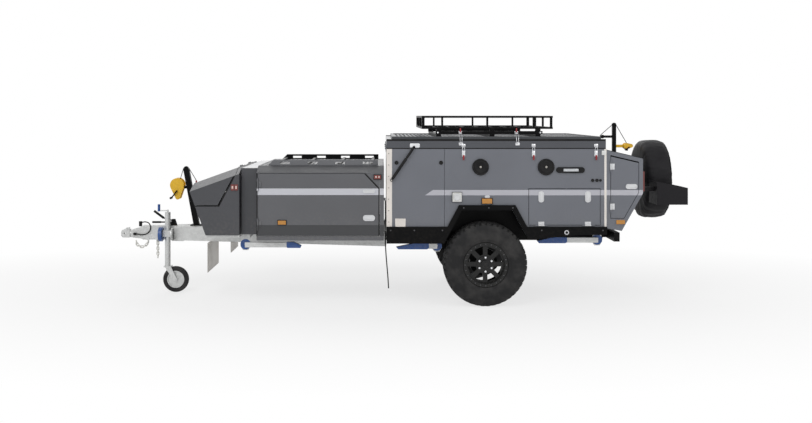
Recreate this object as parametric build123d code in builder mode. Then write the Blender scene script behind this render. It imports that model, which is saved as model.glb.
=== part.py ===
from build123d import *
import os
from math import atan2, cos, hypot, pi, radians, sin, tan

# Off-road camper trailer, in millimetres.
# X runs to the rear, -Y is the trailer's left side, Z is up and the ground is Z = 0.

# Shared gaps
SEAM = 0.3          # between panels of one shell that are fastened to each other
DOOR_GAP = 5        # running gap round doors, hatches and lids
FIT = 0.05          # radial clearance of a pin in its eye
PIN_SEAT = 0.3      # axial gap between a turning piece and what carries it

# Half width of the body and of the boxes, which most places across the trailer follow
BODY_HALF = 900

# Wheels
AXLE_X = 903
TYRE_RADIUS = 420
TYRE_WIDTH = 285
TYRE_OUTER_Y = BODY_HALF + 45
BEAD_RADIUS = 205
RIM_WALL = 14
SPOKE_COUNT = 8
STUB_RADIUS = 30
HUB_RADIUS = 82

# Drawbar
DRAWBAR_TOP = 710
RAIL_HEIGHT = 150
RAIL_WIDTH = 50
RAIL_WALL = 5
BEAM_HALF = 50
BEAM_FRONT = -2740
BEAM_REAR = -2080
RAIL_FRONT = -2380
RAIL_REAR_Y = BODY_HALF - 340
COUPLING_TIP = -2975

# Jockey wheel
JOCKEY_X = -2453
JOCKEY_TRAIL = 91
JOCKEY_RADIUS = 140
JOCKEY_WIDTH = 60
JOCKEY_TUBE = 30
JOCKEY_INNER = 24
JOCKEY_TUBE_BOTTOM = 285
JOCKEY_TUBE_TOP = 865
CLAMP_THICK = 12

# Front mast and its winch
MAST_SIZE = 60
MAST_FOOT_X = -2156
MAST_HEAD_X = -2273
MAST_HEAD_Z = 1335
WINCH_X = -2364
WINCH_Z = 1128

# Boxes ahead of the body
BOX_HALF = BODY_HALF
PANEL = 25
NOSE_FLOOR = 712
NOSE_FOOT_X = -1897
NOSE_BROW = (-2057, 1149)
NOSE_REAR = -1562
NOSE_REAR_Z = 1326
NOSE_SEAM_Z = 1011
NOSE_SEAM_X = -1772
NOSE_CROWN = 64
NOSE_CROWN_HALF = BOX_HALF - 350
MID_FRONT = -1552
MID_REAR = -1392
MID_HALF = BOX_HALF - 100
MID_TOP = 1380
BOX_FRONT = -1387
BOX_REAR = -112
BOX_LIP = 661
BOX_SHOULDER = 1336
BOX_DECK = 1403
BOX_DECK_HALF = BOX_HALF - 150
BOX_DOOR_FRONT = -1372
BOX_DOOR_REAR = -159
BOX_DOOR_BOTTOM = 706
BOX_DOOR_CUT = (143, 150)   # length and height of the door's cut corner
RACK_HALF = BOX_DECK_HALF - 30
RACK_FRONT = -1293
RACK_REAR = -173
RACK_HEIGHT = 55

# Main body
BODY_FRONT = -87
BODY_REAR = 2113
BODY_WALL = 30
FLOOR_BOTTOM = 720
BODY_TOP = 1576
BODY_SEAM_X = 491
LID_TOP = 1668
LID_REAR_GAP = 6
LID_SEAT = 0.4
DECK_FRONT = -32
DECK_REAR = 2068
DECK_HALF = BODY_HALF - 40
DECK_TOP = 1700
HINGE_RADIUS = 8

# Sill and wheel arch
SILL_THICK = 30
SILL_BOTTOM = 633
SILL_TOP = 800
SILL_REAR_BOTTOM = 720
ARCH_BAND = 50
ARCH_TOP = 1016
ARCH_TOP_HALF = 282
ARCH_FOOT_HALF = 398
WELL_HALF_LENGTH = 463
WELL_INNER_Y = BODY_HALF - 270
WELL_TOP = 985
WELL_WALL = 12

# Hatch in the body's side
HATCH_FRONT = 1338
HATCH_REAR = 2048
HATCH_BOTTOM = 817
HATCH_TOP = 1178

# Rear locker
LOCKER_REAR = 2478
LOCKER_TOP = (1564, 1479)   # height at the front and at the rear
LOCKER_KNEE_Z = 1131
LOCKER_TOE = (2266, 756)
LOCKER_HEEL_Z = 783
LOCKER_MARGIN = 40
LOCKER_DOOR_BOTTOM = 880
LOCKER_TOP_GAP = 8   # more room above the door, whose inner edge swings under a slope
COVER_THICK = 5

# Spare wheel and holders
SPARE_Z = 1219
SPARE_FRONT = 2658
SPARE_REAR = 2938
SPARE_RADIUS = 430
SPARE_SHELL = 25
HOLDER_FRONT = 2661
HOLDER_REAR = 2975
HOLDER_INNER_Y = 460
HOLDER_OUTER_Y = 750
HOLDER_BOTTOM = 1004
HOLDER_TOP = (1239, 1175)   # height at the front and at the rear
HOLDER_WALL = 6

# Roof basket
BASKET_FRONT = 271
BASKET_REAR = 1594
BASKET_HALF = BODY_HALF - 100
BASKET_FLOOR = 1775
BASKET_TOP = 1907
BASKET_BAR = 20

# Lid struts, at the body pin and at the lid pin
STRUT_Y = BODY_HALF + 25
STRUT_BODY_PIN = (-37, 1266)
STRUT_LID_PIN = (188, 1596)
STRUT_TUBE = 11
STRUT_ROD = 5

# Chassis under the body
CHASSIS_TOP = FLOOR_BOTTOM
CHASSIS_HEIGHT = 100
CHASSIS_Y = (BODY_HALF - 400, BODY_HALF - 350)
ARM_Y = (CHASSIS_Y[1] + 10, CHASSIS_Y[1] + 70)
ARM_PIVOT = (430, 600)
SPRING_X = 730
SPRING_RADIUS = 36
SPRING_WIRE = 7
SPRING_TURNS = 4

# Stabiliser legs: swivel, direction along X, reach and length of foot
# columns: name, swivel x, swivel z, direction, reach, foot length
LEGS = (
    ("front", -1517, 604, 1, 570, 148),
    ("mid", 425, 590, -1, 413, 330),
    ("rear", 2051, 652, -1, 615, 300),
)
LEG_PLATE_Y = (BODY_HALF - 158, BODY_HALF - 150)
LEG_DISC_THICK = 8
LEG_DISC_RADIUS = 52
LEG_TUBE = 50
LEG_PIN = 10

SIDES = (("left", -1), ("right", 1))

os.makedirs("parts", exist_ok=True)


# Helpers

def save(builder, name):
    """Label a finished piece and write it."""
    builder.part.label = name
    export_step(builder.part, f"parts/{name}.step")


def span(sign, inner, outer):
    """Y limits on one side, from the distances to the centre plane."""
    return tuple(sorted((sign * inner, sign * outer)))


def slab(x, y, z, mode=Mode.ADD):
    """Box between two limits on each axis."""
    with Locations(((x[0] + x[1]) / 2, (y[0] + y[1]) / 2, (z[0] + z[1]) / 2)):
        Box(x[1] - x[0], y[1] - y[0], z[1] - z[0], mode=mode)


def side_plate(outline, y, gap=0.0, mode=Mode.ADD):
    """Outline in X and Z, drawn in by a gap and extruded between two Y limits."""
    with BuildSketch(Plane.XZ.offset(-y[1])) as profile:
        Polygon(*inset(outline, gap), align=None)
    extrude(profile.sketch, amount=y[1] - y[0], mode=mode)


def cross_plate(outline, x, gap=0.0, mode=Mode.ADD):
    """Outline in Y and Z, drawn in by a gap and extruded between two X limits."""
    with BuildSketch(Plane.YZ.offset(x[0])) as profile:
        Polygon(*inset(outline, gap), align=None)
    extrude(profile.sketch, amount=x[1] - x[0], mode=mode)


def plan_plate(outline, z, gap=0.0, mode=Mode.ADD):
    """Outline in X and Y, drawn in by a gap and extruded between two Z limits."""
    with BuildSketch(Plane.XY.offset(z[0])) as profile:
        Polygon(*inset(outline, gap), align=None)
    extrude(profile.sketch, amount=z[1] - z[0], mode=mode)


def bar(start, end, radius, mode=Mode.ADD):
    """Round bar between two points."""
    line = Vector(*end) - Vector(*start)
    with BuildSketch(Plane(origin=start, z_dir=line)) as profile:
        Circle(radius)
    extrude(profile.sketch, amount=line.length, mode=mode)


def pin_y(x, z, radius, y, mode=Mode.ADD):
    """Round bar across the trailer between two Y limits."""
    bar((x, y[0], z), (x, y[1], z), radius, mode)


def inset(outline, distance):
    """Convex outline moved inwards, each edge by the same distance (outwards if negative)."""
    if not distance:
        return list(outline)
    count = len(outline)
    area = sum(outline[k - 1][0] * outline[k][1] - outline[k][0] * outline[k - 1][1] for k in range(count))
    turn = 1 if area > 0 else -1
    edges = []
    for k in range(count):
        (x0, z0), (x1, z1) = outline[k], outline[(k + 1) % count]
        length = hypot(x1 - x0, z1 - z0)
        normal = (-(z1 - z0) / length * turn, (x1 - x0) / length * turn)
        edges.append((x0 + normal[0] * distance, z0 + normal[1] * distance, x1 - x0, z1 - z0))
    moved = []
    for k in range(count):
        xa, za, ua, wa = edges[k - 1]
        xb, zb, ub, wb = edges[k]
        t = ((xb - xa) * wb - (zb - za) * ub) / (ua * wb - wa * ub)
        moved.append((xa + ua * t, za + wa * t))
    return moved


def frame_strips(outer, inner, y, skip=()):
    """Mitred strips between an outline and the opening inside it, each its own solid."""
    count = len(outer)
    for k in range(count):
        if k not in skip:
            after = (k + 1) % count
            side_plate((outer[k], outer[after], inner[after], inner[k]), y, SEAM / 2)


# Driving lines that several pieces share

AXLE_Z = TYRE_RADIUS
TYRE_MID_Y = TYRE_OUTER_Y - TYRE_WIDTH / 2
DRAWBAR_BOTTOM = DRAWBAR_TOP - RAIL_HEIGHT
CHASSIS_BOTTOM = CHASSIS_TOP - CHASSIS_HEIGHT
FLOOR_TOP = FLOOR_BOTTOM + BODY_WALL
RAIL_REAR = BODY_FRONT - SEAM
RAIL_FRONT_Y = BEAM_HALF + RAIL_WIDTH * 0.53
RAIL_SLOPE = (RAIL_REAR_Y - RAIL_FRONT_Y) / (RAIL_REAR - RAIL_FRONT)
RAIL_REACH = RAIL_WIDTH / 2 * hypot(1, RAIL_SLOPE)


def rail_y(x, outside):
    """Distance of an A-frame rail's face from the centre plane; outside is 1 or -1."""
    return RAIL_FRONT_Y + RAIL_SLOPE * (x - RAIL_FRONT) + outside * (RAIL_REACH + SEAM)


# Drawbar: centre beam, A-frame rails, cross tubes, gussets and the nose's ledges

CROSS_X = (LEGS[0][1] - 25, LEGS[0][1] + 25)
CROSS_Z = (DRAWBAR_TOP - 60, DRAWBAR_TOP)
LEDGE_THICK = 22
GUSSET_X = (RAIL_FRONT - 31, RAIL_FRONT + 101)
GUSSET_THICK = 8
CHAIN_Y = BEAM_HALF + 24
LINK_OUTER_WIDTH = 32
CHAIN_LUGS = ((-2677, -1), (-2600, 1))   # x and side of the chains' lugs
CHAIN_LUG_HALF = 10
CHAIN_LUG_DROP = 35
CHAIN_LUG_RISE = 20

with BuildPart() as drawbar:
    slab((BEAM_FRONT, BEAM_REAR), (-BEAM_HALF, BEAM_HALF), (DRAWBAR_BOTTOM, DRAWBAR_TOP))
    slab((BEAM_FRONT + RAIL_WALL, BEAM_REAR - RAIL_WALL), (RAIL_WALL - BEAM_HALF, BEAM_HALF - RAIL_WALL),
         (DRAWBAR_BOTTOM + RAIL_WALL, DRAWBAR_TOP - RAIL_WALL), Mode.SUBTRACT)
    for side, sign in SIDES:
        start = Vector(RAIL_FRONT, sign * RAIL_FRONT_Y, (DRAWBAR_TOP + DRAWBAR_BOTTOM) / 2)
        run = Vector(RAIL_REAR - RAIL_FRONT, sign * (RAIL_REAR_Y - RAIL_FRONT_Y), 0)
        with BuildSketch(Plane(origin=start, x_dir=(0, 0, 1), z_dir=run)):
            Rectangle(RAIL_HEIGHT, RAIL_WIDTH)
            Rectangle(RAIL_HEIGHT - 2 * RAIL_WALL, RAIL_WIDTH - 2 * RAIL_WALL, mode=Mode.SUBTRACT)
        extrude(amount=run.length - RAIL_WIDTH / 2 * abs(RAIL_SLOPE))
        plan_plate([(CROSS_X[0], sign * rail_y(CROSS_X[0], 1)), (CROSS_X[1], sign * rail_y(CROSS_X[1], 1)),
                    (CROSS_X[1], sign * LEG_PLATE_Y[0]), (CROSS_X[0], sign * LEG_PLATE_Y[0])], CROSS_Z, SEAM)
        plan_plate([(NOSE_FOOT_X, sign * rail_y(NOSE_FOOT_X, 1)), (NOSE_REAR, sign * rail_y(NOSE_REAR, 1)),
                    (NOSE_REAR, sign * (BOX_HALF - PANEL)), (NOSE_FOOT_X, sign * (BOX_HALF - PANEL))],
                   (DRAWBAR_TOP - LEDGE_THICK, NOSE_FLOOR - SEAM), SEAM)
    plan_plate([(CROSS_X[0], -rail_y(CROSS_X[0], -1)), (CROSS_X[1], -rail_y(CROSS_X[1], -1)),
                (CROSS_X[1], rail_y(CROSS_X[1], -1)), (CROSS_X[0], rail_y(CROSS_X[0], -1))], CROSS_Z, SEAM)
    plan_plate([(GUSSET_X[0], -rail_y(GUSSET_X[0], 1)), (GUSSET_X[1], -rail_y(GUSSET_X[1], 1)),
                (GUSSET_X[1], rail_y(GUSSET_X[1], 1)), (GUSSET_X[0], rail_y(GUSSET_X[0], 1))],
               (DRAWBAR_BOTTOM - SEAM - GUSSET_THICK, DRAWBAR_BOTTOM - SEAM))
    for x, sign in CHAIN_LUGS:
        slab((x - CHAIN_LUG_HALF, x + CHAIN_LUG_HALF),
             span(sign, BEAM_HALF - 2, CHAIN_Y - LINK_OUTER_WIDTH / 2 - SEAM),
             (DRAWBAR_BOTTOM - CHAIN_LUG_DROP, DRAWBAR_BOTTOM + CHAIN_LUG_RISE))
save(drawbar, "drawbar")

# Coupling: tapered base on the beam's end, neck, cast head with the pin's eye, and its release lever

COUPLING_BASE = (BEAM_FRONT - 122, BEAM_FRONT - SEAM)
COUPLING_HEAD = (COUPLING_TIP, COUPLING_TIP + 92)
COUPLING_Z = 624
COUPLING_HALF = 38
COUPLING_EYE = 12.75
COUPLING_EYE_X = COUPLING_TIP + 40

with BuildPart() as coupling:
    side_plate([(COUPLING_BASE[0], COUPLING_Z - 40), (COUPLING_BASE[1], DRAWBAR_BOTTOM + 8),
                (COUPLING_BASE[1], DRAWBAR_TOP - 8), (COUPLING_BASE[0], COUPLING_Z + 40)], (-45, 45))
    bar((COUPLING_HEAD[1] - 10, 0, COUPLING_Z), (COUPLING_BASE[0] + 10, 0, COUPLING_Z), 30)
    slab(COUPLING_HEAD, (-COUPLING_HALF, COUPLING_HALF), (COUPLING_Z - 44, COUPLING_Z + 44))
    corners = coupling.edges().filter_by(Axis.Y).group_by(Axis.X)[0]
    fillet(corners, radius=30)
    pin_y(COUPLING_EYE_X, COUPLING_Z, COUPLING_EYE, (-COUPLING_HALF, COUPLING_HALF), Mode.SUBTRACT)
    lever = COUPLING_Z + 44
    side_plate([(COUPLING_HEAD[0] + 30, lever - 4), (COUPLING_HEAD[1] - 12, lever - 4),
                (COUPLING_HEAD[1] - 4, lever + 22), (COUPLING_HEAD[0] + 52, lever + 16)], (-14, 14))
save(coupling, "coupling")

# Handbrake: bracket, ratchet lever with its grip, and the pull rod along the beam

BRAKE_PIVOT = (-2410, DRAWBAR_TOP + 48)
BRAKE_KNEE = (-2522, 789)
BRAKE_TIP = (-2626, 866)
BRAKE_Y = 12
BRAKE_BRACKET = 5       # half thickness
BRAKE_FOOT_HALF = 42
BRAKE_HEAD = (18, 22)   # half length and rise of the bracket's head
BRAKE_PIN = 9
BRAKE_LEVER = 8
BRAKE_GRIP = 13
BRAKE_ROD_Y = -10
BRAKE_ROD_DROP = 12
BRAKE_ROD_END = -2642

with BuildPart() as handbrake:
    side_plate([(BRAKE_PIVOT[0] - BRAKE_FOOT_HALF, DRAWBAR_TOP + SEAM),
                (BRAKE_PIVOT[0] + BRAKE_FOOT_HALF, DRAWBAR_TOP + SEAM),
                (BRAKE_PIVOT[0] + BRAKE_HEAD[0], BRAKE_PIVOT[1] + BRAKE_HEAD[1]),
                (BRAKE_PIVOT[0] - BRAKE_HEAD[0], BRAKE_PIVOT[1] + BRAKE_HEAD[1])],
               (-BRAKE_BRACKET, BRAKE_BRACKET))
    pin_y(BRAKE_PIVOT[0], BRAKE_PIVOT[1], BRAKE_PIN, (BRAKE_ROD_Y, BRAKE_Y + BRAKE_LEVER - 2))
    bar((BRAKE_PIVOT[0], BRAKE_Y, BRAKE_PIVOT[1]), (BRAKE_KNEE[0], BRAKE_Y, BRAKE_KNEE[1]), BRAKE_LEVER)
    bar((BRAKE_KNEE[0], BRAKE_Y, BRAKE_KNEE[1]), (BRAKE_TIP[0], BRAKE_Y, BRAKE_TIP[1]), BRAKE_GRIP)
    rod_z = BRAKE_PIVOT[1] - BRAKE_ROD_DROP
    bar((BRAKE_PIVOT[0], BRAKE_ROD_Y, rod_z), (BRAKE_ROD_END, BRAKE_ROD_Y, rod_z), BRAKE_LEVER)
save(handbrake, "handbrake")

# Chains: stadium links, each standing across the last, from joints one pitch apart

LINK_WIRE = 9
LINK_INNER = 32
LINK_PITCH = LINK_INNER - 12 * SEAM
CHAIN_LOOP_STEPS = 7
CHAIN_HANG_LINKS = 7
CHAIN_EYE_Z = DRAWBAR_BOTTOM - 12


def loop_joints(x, z, side_y):
    """Joints of a loop that hangs from two points as the lower half of a circle."""
    step = 2 * pi / 2 / CHAIN_LOOP_STEPS
    radius = LINK_PITCH / 2 / sin(step / 2)
    return [(x - radius * cos(step * k), side_y, z - radius * sin(step * k))
            for k in range(CHAIN_LOOP_STEPS + 1)]


def hang_joints(x, z, side_y):
    """Joints of a chain that hangs straight down."""
    return [(x, side_y, z - LINK_PITCH * k) for k in range(CHAIN_HANG_LINKS + 1)]


def chain_links(joints):
    """One stadium link between each pair of joints, turned a quarter each time."""
    for k in range(len(joints) - 1):
        start, end = Vector(*joints[k]), Vector(*joints[k + 1])
        along = (end - start).normalized()
        across = Vector(0, 1, 0) if k % 2 else along.cross(Vector(0, 1, 0))
        seat = Plane(origin=(start + end) * 0.5 - across * (LINK_WIRE / 2), x_dir=along, z_dir=across)
        with BuildSketch(seat) as outline:
            SlotOverall(LINK_INNER + 2 * LINK_WIRE, LINK_OUTER_WIDTH)
            SlotOverall(LINK_INNER, LINK_OUTER_WIDTH - 2 * LINK_WIRE, mode=Mode.SUBTRACT)
        extrude(outline.sketch, amount=LINK_WIRE)


CHAIN_LOOP_X = -2738
CHAIN_HANG_X = -2600

with BuildPart() as safety_chains:
    chain_links(loop_joints(CHAIN_LOOP_X, CHAIN_EYE_Z, -CHAIN_Y))
    chain_links(hang_joints(CHAIN_HANG_X, CHAIN_EYE_Z, CHAIN_Y))
save(safety_chains, "safety_chains")

# Brake cable: a stiff loop from a boss on the coupling's side to one on its top

CABLE_RADIUS = 6
CABLE_POINTS = (
    (-2805, -57, 622), (-2745, -60, 612), (-2690, -62, 622), (-2652, -62, 660),
    (-2648, -58, 708), (-2672, -46, 744), (-2716, -30, 752), (-2752, -20, 744),
)


def cord_radii(points):
    """Largest arc that each corner's runs leave room for."""
    radii = []
    for a, b, c in zip(points, points[1:], points[2:]):
        before, after = Vector(*b) - Vector(*a), Vector(*c) - Vector(*b)
        turn = before.get_angle(after) * pi / 180
        radii.append(0.45 * min(before.length, after.length) / tan(turn / 2))
    return radii


def cord_tube(points, radius):
    """Round tube along straight runs joined by tangent arcs."""
    with BuildLine() as route:
        FilletPolyline(*points, radius=cord_radii(points))
    with BuildSketch(Plane(origin=points[0], z_dir=Vector(*points[1]) - Vector(*points[0]))) as section:
        Circle(radius)
    sweep(section.sketch, path=route.line)


CABLE_BOSS = 30         # length of the bosses that hold the cable's ends
CABLE_BOSS_HALF = 12

with BuildPart() as brake_cable:
    cord_tube(CABLE_POINTS, CABLE_RADIUS)
    start, end = CABLE_POINTS[0], CABLE_POINTS[-1]
    slab((start[0] - CABLE_BOSS, start[0]), (start[1] - 11, -45 - SEAM),
         (start[2] - CABLE_BOSS_HALF, start[2] + CABLE_BOSS_HALF))
    slab((end[0] - CABLE_BOSS, end[0]), (end[1] - CABLE_BOSS_HALF, end[1] + CABLE_BOSS_HALF),
         (DRAWBAR_TOP - 8 + SEAM, end[2] + CABLE_BOSS_HALF))
save(brake_cable, "brake_cable")

# Jockey wheel: clamp on the beam's left side, outer tube with its crank, fork and wheel

JOCKEY_Y = -(BEAM_HALF + SEAM + CLAMP_THICK + 8 + JOCKEY_TUBE)
JOCKEY_CLAMP_Z = (DRAWBAR_TOP + DRAWBAR_BOTTOM) / 2
JOCKEY_AXLE_X = JOCKEY_X + JOCKEY_TRAIL
JOCKEY_YOKE_Z = JOCKEY_TUBE_BOTTOM - PIN_SEAT - 12
FORK_GAP = 6
FORK_THICK = 8
JOCKEY_PIN = 8

with BuildPart() as jockey_clamp:
    with BuildSketch(Plane.XZ.offset(BEAM_HALF + SEAM)):
        with Locations((JOCKEY_X, JOCKEY_CLAMP_Z)):
            Ellipse(60, 76)
    extrude(amount=CLAMP_THICK)
    slab((JOCKEY_X - 46, JOCKEY_X + 46), (JOCKEY_Y - JOCKEY_TUBE - 10, -BEAM_HALF - SEAM - CLAMP_THICK),
         (JOCKEY_CLAMP_Z - 34, JOCKEY_CLAMP_Z + 34))
    bar((JOCKEY_X, JOCKEY_Y, JOCKEY_CLAMP_Z - 40), (JOCKEY_X, JOCKEY_Y, JOCKEY_CLAMP_Z + 40),
        JOCKEY_TUBE + SEAM / 2, Mode.SUBTRACT)
save(jockey_clamp, "jockey_clamp")

CRANK_REACH = 95
with BuildPart() as jockey_tube:
    bar((JOCKEY_X, JOCKEY_Y, JOCKEY_TUBE_BOTTOM), (JOCKEY_X, JOCKEY_Y, JOCKEY_TUBE_TOP), JOCKEY_TUBE)
    bar((JOCKEY_X, JOCKEY_Y, JOCKEY_TUBE_BOTTOM), (JOCKEY_X, JOCKEY_Y, JOCKEY_TUBE_TOP - 30),
        JOCKEY_INNER + FIT,
        Mode.SUBTRACT)
    bar((JOCKEY_X, JOCKEY_Y, JOCKEY_TUBE_TOP - 4), (JOCKEY_X, JOCKEY_Y, JOCKEY_TUBE_TOP + 26), 9)
    crank_z = JOCKEY_TUBE_TOP + 16
    bar((JOCKEY_X, JOCKEY_Y, crank_z), (JOCKEY_X - CRANK_REACH, JOCKEY_Y, crank_z), 6)
    bar((JOCKEY_X - CRANK_REACH, JOCKEY_Y, JOCKEY_TUBE_TOP + 8),
        (JOCKEY_X - CRANK_REACH, JOCKEY_Y, JOCKEY_TUBE_TOP + 84), 14)
save(jockey_tube, "jockey_tube")

with BuildPart() as jockey_fork:
    bar((JOCKEY_X, JOCKEY_Y, JOCKEY_YOKE_Z + 6), (JOCKEY_X, JOCKEY_Y, JOCKEY_CLAMP_Z), JOCKEY_INNER)
    yoke = JOCKEY_WIDTH / 2 + FORK_GAP + FORK_THICK
    slab((JOCKEY_X - 34, JOCKEY_X + 46), (JOCKEY_Y - yoke, JOCKEY_Y + yoke),
         (JOCKEY_YOKE_Z, JOCKEY_YOKE_Z + 12))
    for sign in (-1, 1):
        limits = tuple(sorted((JOCKEY_Y + sign * yoke, JOCKEY_Y + sign * (yoke - FORK_THICK))))
        side_plate([(JOCKEY_X - 20, JOCKEY_YOKE_Z), (JOCKEY_X + 46, JOCKEY_YOKE_Z),
                    (JOCKEY_AXLE_X + 20, JOCKEY_RADIUS), (JOCKEY_AXLE_X + 10, JOCKEY_RADIUS - 20),
                    (JOCKEY_AXLE_X - 16, JOCKEY_RADIUS - 14)], limits)
    pin_y(JOCKEY_AXLE_X, JOCKEY_RADIUS, JOCKEY_PIN, (JOCKEY_Y - yoke - 6, JOCKEY_Y + yoke + 6))
save(jockey_fork, "jockey_fork")

JOCKEY_RIM = 92
with BuildPart() as jockey_wheel:
    with BuildSketch(Plane.XY.offset(JOCKEY_RADIUS)):
        with BuildLine(Plane.XY.offset(JOCKEY_RADIUS)):
            Polyline((JOCKEY_AXLE_X + JOCKEY_RIM + SEAM, JOCKEY_Y - JOCKEY_WIDTH * 0.42),
                     (JOCKEY_AXLE_X + JOCKEY_RIM + SEAM, JOCKEY_Y + JOCKEY_WIDTH * 0.42),
                     (JOCKEY_AXLE_X + JOCKEY_RADIUS * 0.8, JOCKEY_Y + JOCKEY_WIDTH / 2),
                     (JOCKEY_AXLE_X + JOCKEY_RADIUS * 0.94, JOCKEY_Y + JOCKEY_WIDTH * 0.4))
            ThreePointArc((JOCKEY_AXLE_X + JOCKEY_RADIUS * 0.94, JOCKEY_Y + JOCKEY_WIDTH * 0.4),
                          (JOCKEY_AXLE_X + JOCKEY_RADIUS, JOCKEY_Y),
                          (JOCKEY_AXLE_X + JOCKEY_RADIUS * 0.94, JOCKEY_Y - JOCKEY_WIDTH * 0.4))
            Polyline((JOCKEY_AXLE_X + JOCKEY_RADIUS * 0.94, JOCKEY_Y - JOCKEY_WIDTH * 0.4),
                     (JOCKEY_AXLE_X + JOCKEY_RADIUS * 0.8, JOCKEY_Y - JOCKEY_WIDTH / 2),
                     (JOCKEY_AXLE_X + JOCKEY_RIM + SEAM, JOCKEY_Y - JOCKEY_WIDTH * 0.42))
        make_face()
    revolve(axis=Axis((JOCKEY_AXLE_X, 0, JOCKEY_RADIUS), (0, 1, 0)))
    half = JOCKEY_WIDTH * 0.4
    pin_y(JOCKEY_AXLE_X, JOCKEY_RADIUS, JOCKEY_RIM, (JOCKEY_Y - half, JOCKEY_Y + half))
    for sign in (-1, 1):
        dish = tuple(sorted((JOCKEY_Y + sign * half, JOCKEY_Y + sign * (half - 16))))
        pin_y(JOCKEY_AXLE_X, JOCKEY_RADIUS, JOCKEY_RIM - 8, dish, Mode.SUBTRACT)
        pin_y(JOCKEY_AXLE_X, JOCKEY_RADIUS, 22, tuple(sorted((JOCKEY_Y, JOCKEY_Y + sign * JOCKEY_WIDTH / 2))))
    pin_y(JOCKEY_AXLE_X, JOCKEY_RADIUS, JOCKEY_PIN + FIT, (JOCKEY_Y - JOCKEY_WIDTH, JOCKEY_Y + JOCKEY_WIDTH),
          Mode.SUBTRACT)
save(jockey_wheel, "jockey_wheel")

# Rear locker's shell lines, which the rear mast stands on

LOCKER_OUTLINE = [(BODY_REAR + SEAM, LOCKER_TOP[0]), (LOCKER_REAR, LOCKER_TOP[1]),
                  (LOCKER_REAR, LOCKER_KNEE_Z), LOCKER_TOE, (BODY_REAR + SEAM, LOCKER_HEEL_Z)]
LOCKER_SLOPE = (LOCKER_TOP[1] - LOCKER_TOP[0]) / (LOCKER_REAR - BODY_REAR - SEAM)


def locker_top(x, above=0.0):
    """Height of the locker's roof at x, and above it."""
    return LOCKER_TOP[0] + LOCKER_SLOPE * (x - BODY_REAR - SEAM) + above


# Winch masts: the leaning front post and the upright rear post with its arm

MAST_LEAN = (MAST_HEAD_X - MAST_FOOT_X) / (MAST_HEAD_Z - DRAWBAR_TOP)
REAR_MAST_X = 2405
REAR_MAST_SIZE = 40
REAR_MAST_HEIGHT = 324
REAR_MAST_TOP = locker_top(REAR_MAST_X, REAR_MAST_HEIGHT)
REAR_ARM_TIP = 2278
REAR_ARM_Z = REAR_MAST_TOP - 140
REAR_HOOK_CLEAR = 57    # between the parked cable's end and the locker's roof
MAST_BASE_HALF = 60
ARM_HALF = 13
MAST_PLATE = 12
PULLEY = 26


def mast_x(z):
    """Centre of the front mast at a height."""
    return MAST_FOOT_X + MAST_LEAN * (z - DRAWBAR_TOP)


HOOK_Z = 1118
HOOK_EYE = (mast_x(HOOK_Z) + MAST_SIZE / 2 + 34, HOOK_Z)

with BuildPart() as winch_masts:
    half = MAST_SIZE / 2
    base = DRAWBAR_TOP + SEAM + MAST_PLATE
    slab((MAST_FOOT_X - 62, MAST_FOOT_X + 62), (-48, 48), (DRAWBAR_TOP + SEAM, base))
    side_plate([(mast_x(base) - half, base - 2), (mast_x(base) + half, base - 2),
                (MAST_HEAD_X + half, MAST_HEAD_Z), (MAST_HEAD_X - half, MAST_HEAD_Z)], (-half, half))
    pin_y(MAST_HEAD_X, MAST_HEAD_Z - 4, PULLEY, (-16, 16))
    bar((mast_x(HOOK_Z), 0, HOOK_Z), (HOOK_EYE[0], 0, HOOK_EYE[1]), 7)
    half = REAR_MAST_SIZE / 2
    foot = COVER_THICK + 2 * SEAM
    front, rear = REAR_MAST_X - MAST_BASE_HALF, REAR_MAST_X + MAST_BASE_HALF
    side_plate([(front, locker_top(front, foot)), (rear, locker_top(rear, foot)),
                (rear, locker_top(rear, foot + MAST_PLATE)), (front, locker_top(front, foot + MAST_PLATE))],
               (-MAST_BASE_HALF, MAST_BASE_HALF))
    side_plate([(REAR_MAST_X - half, locker_top(REAR_MAST_X - half, foot + 4)),
                (REAR_MAST_X + half, locker_top(REAR_MAST_X + half, foot + 4)),
                (REAR_MAST_X + half, REAR_MAST_TOP), (REAR_MAST_X - half, REAR_MAST_TOP)], (-half, half))
    slab((REAR_ARM_TIP, REAR_MAST_X), (-ARM_HALF, ARM_HALF), (REAR_ARM_Z - ARM_HALF, REAR_ARM_Z + ARM_HALF))
    pin_y(REAR_ARM_TIP, REAR_ARM_Z, 20, (-12, 12))
    pin_y(REAR_MAST_X, REAR_MAST_TOP - 12, 24, (-12, 12))
save(winch_masts, "winch_masts")

# Hand winches: cheek plates, drum, gear and crank

# columns: centre x, centre z, length, height, half width
WINCHES = {"front": (WINCH_X, WINCH_Z, 150, 200, 55), "rear": (2553, REAR_MAST_TOP - 243, 98, 66, 45)}
CHEEK = 6
WINCH_DRUM = 0.3            # drum's radius as a share of the winch's smaller side
WINCH_BRACKET = (18, 15)    # half width and half height
CRANK_SHAFT = (0.2, 9, 24)  # drop as a share of the height, radius and reach out of the cheek
CRANK_ARM = (18, 7)         # distance out of the cheek and radius
CRANK_THROW = (0.35, 0.55)  # to the grip, as shares of length and height
CRANK_GRIP = (12, 70)       # radius and reach out of the cheek
# columns: x and z from the centre and radius of the two rounds that each cheek is drawn about
CHEEK_ROUNDS = {"front": ((0, 25, 75), (8, -108, 24)), "rear": ((-16, 0, 33), (29, 4, 20))}

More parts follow.
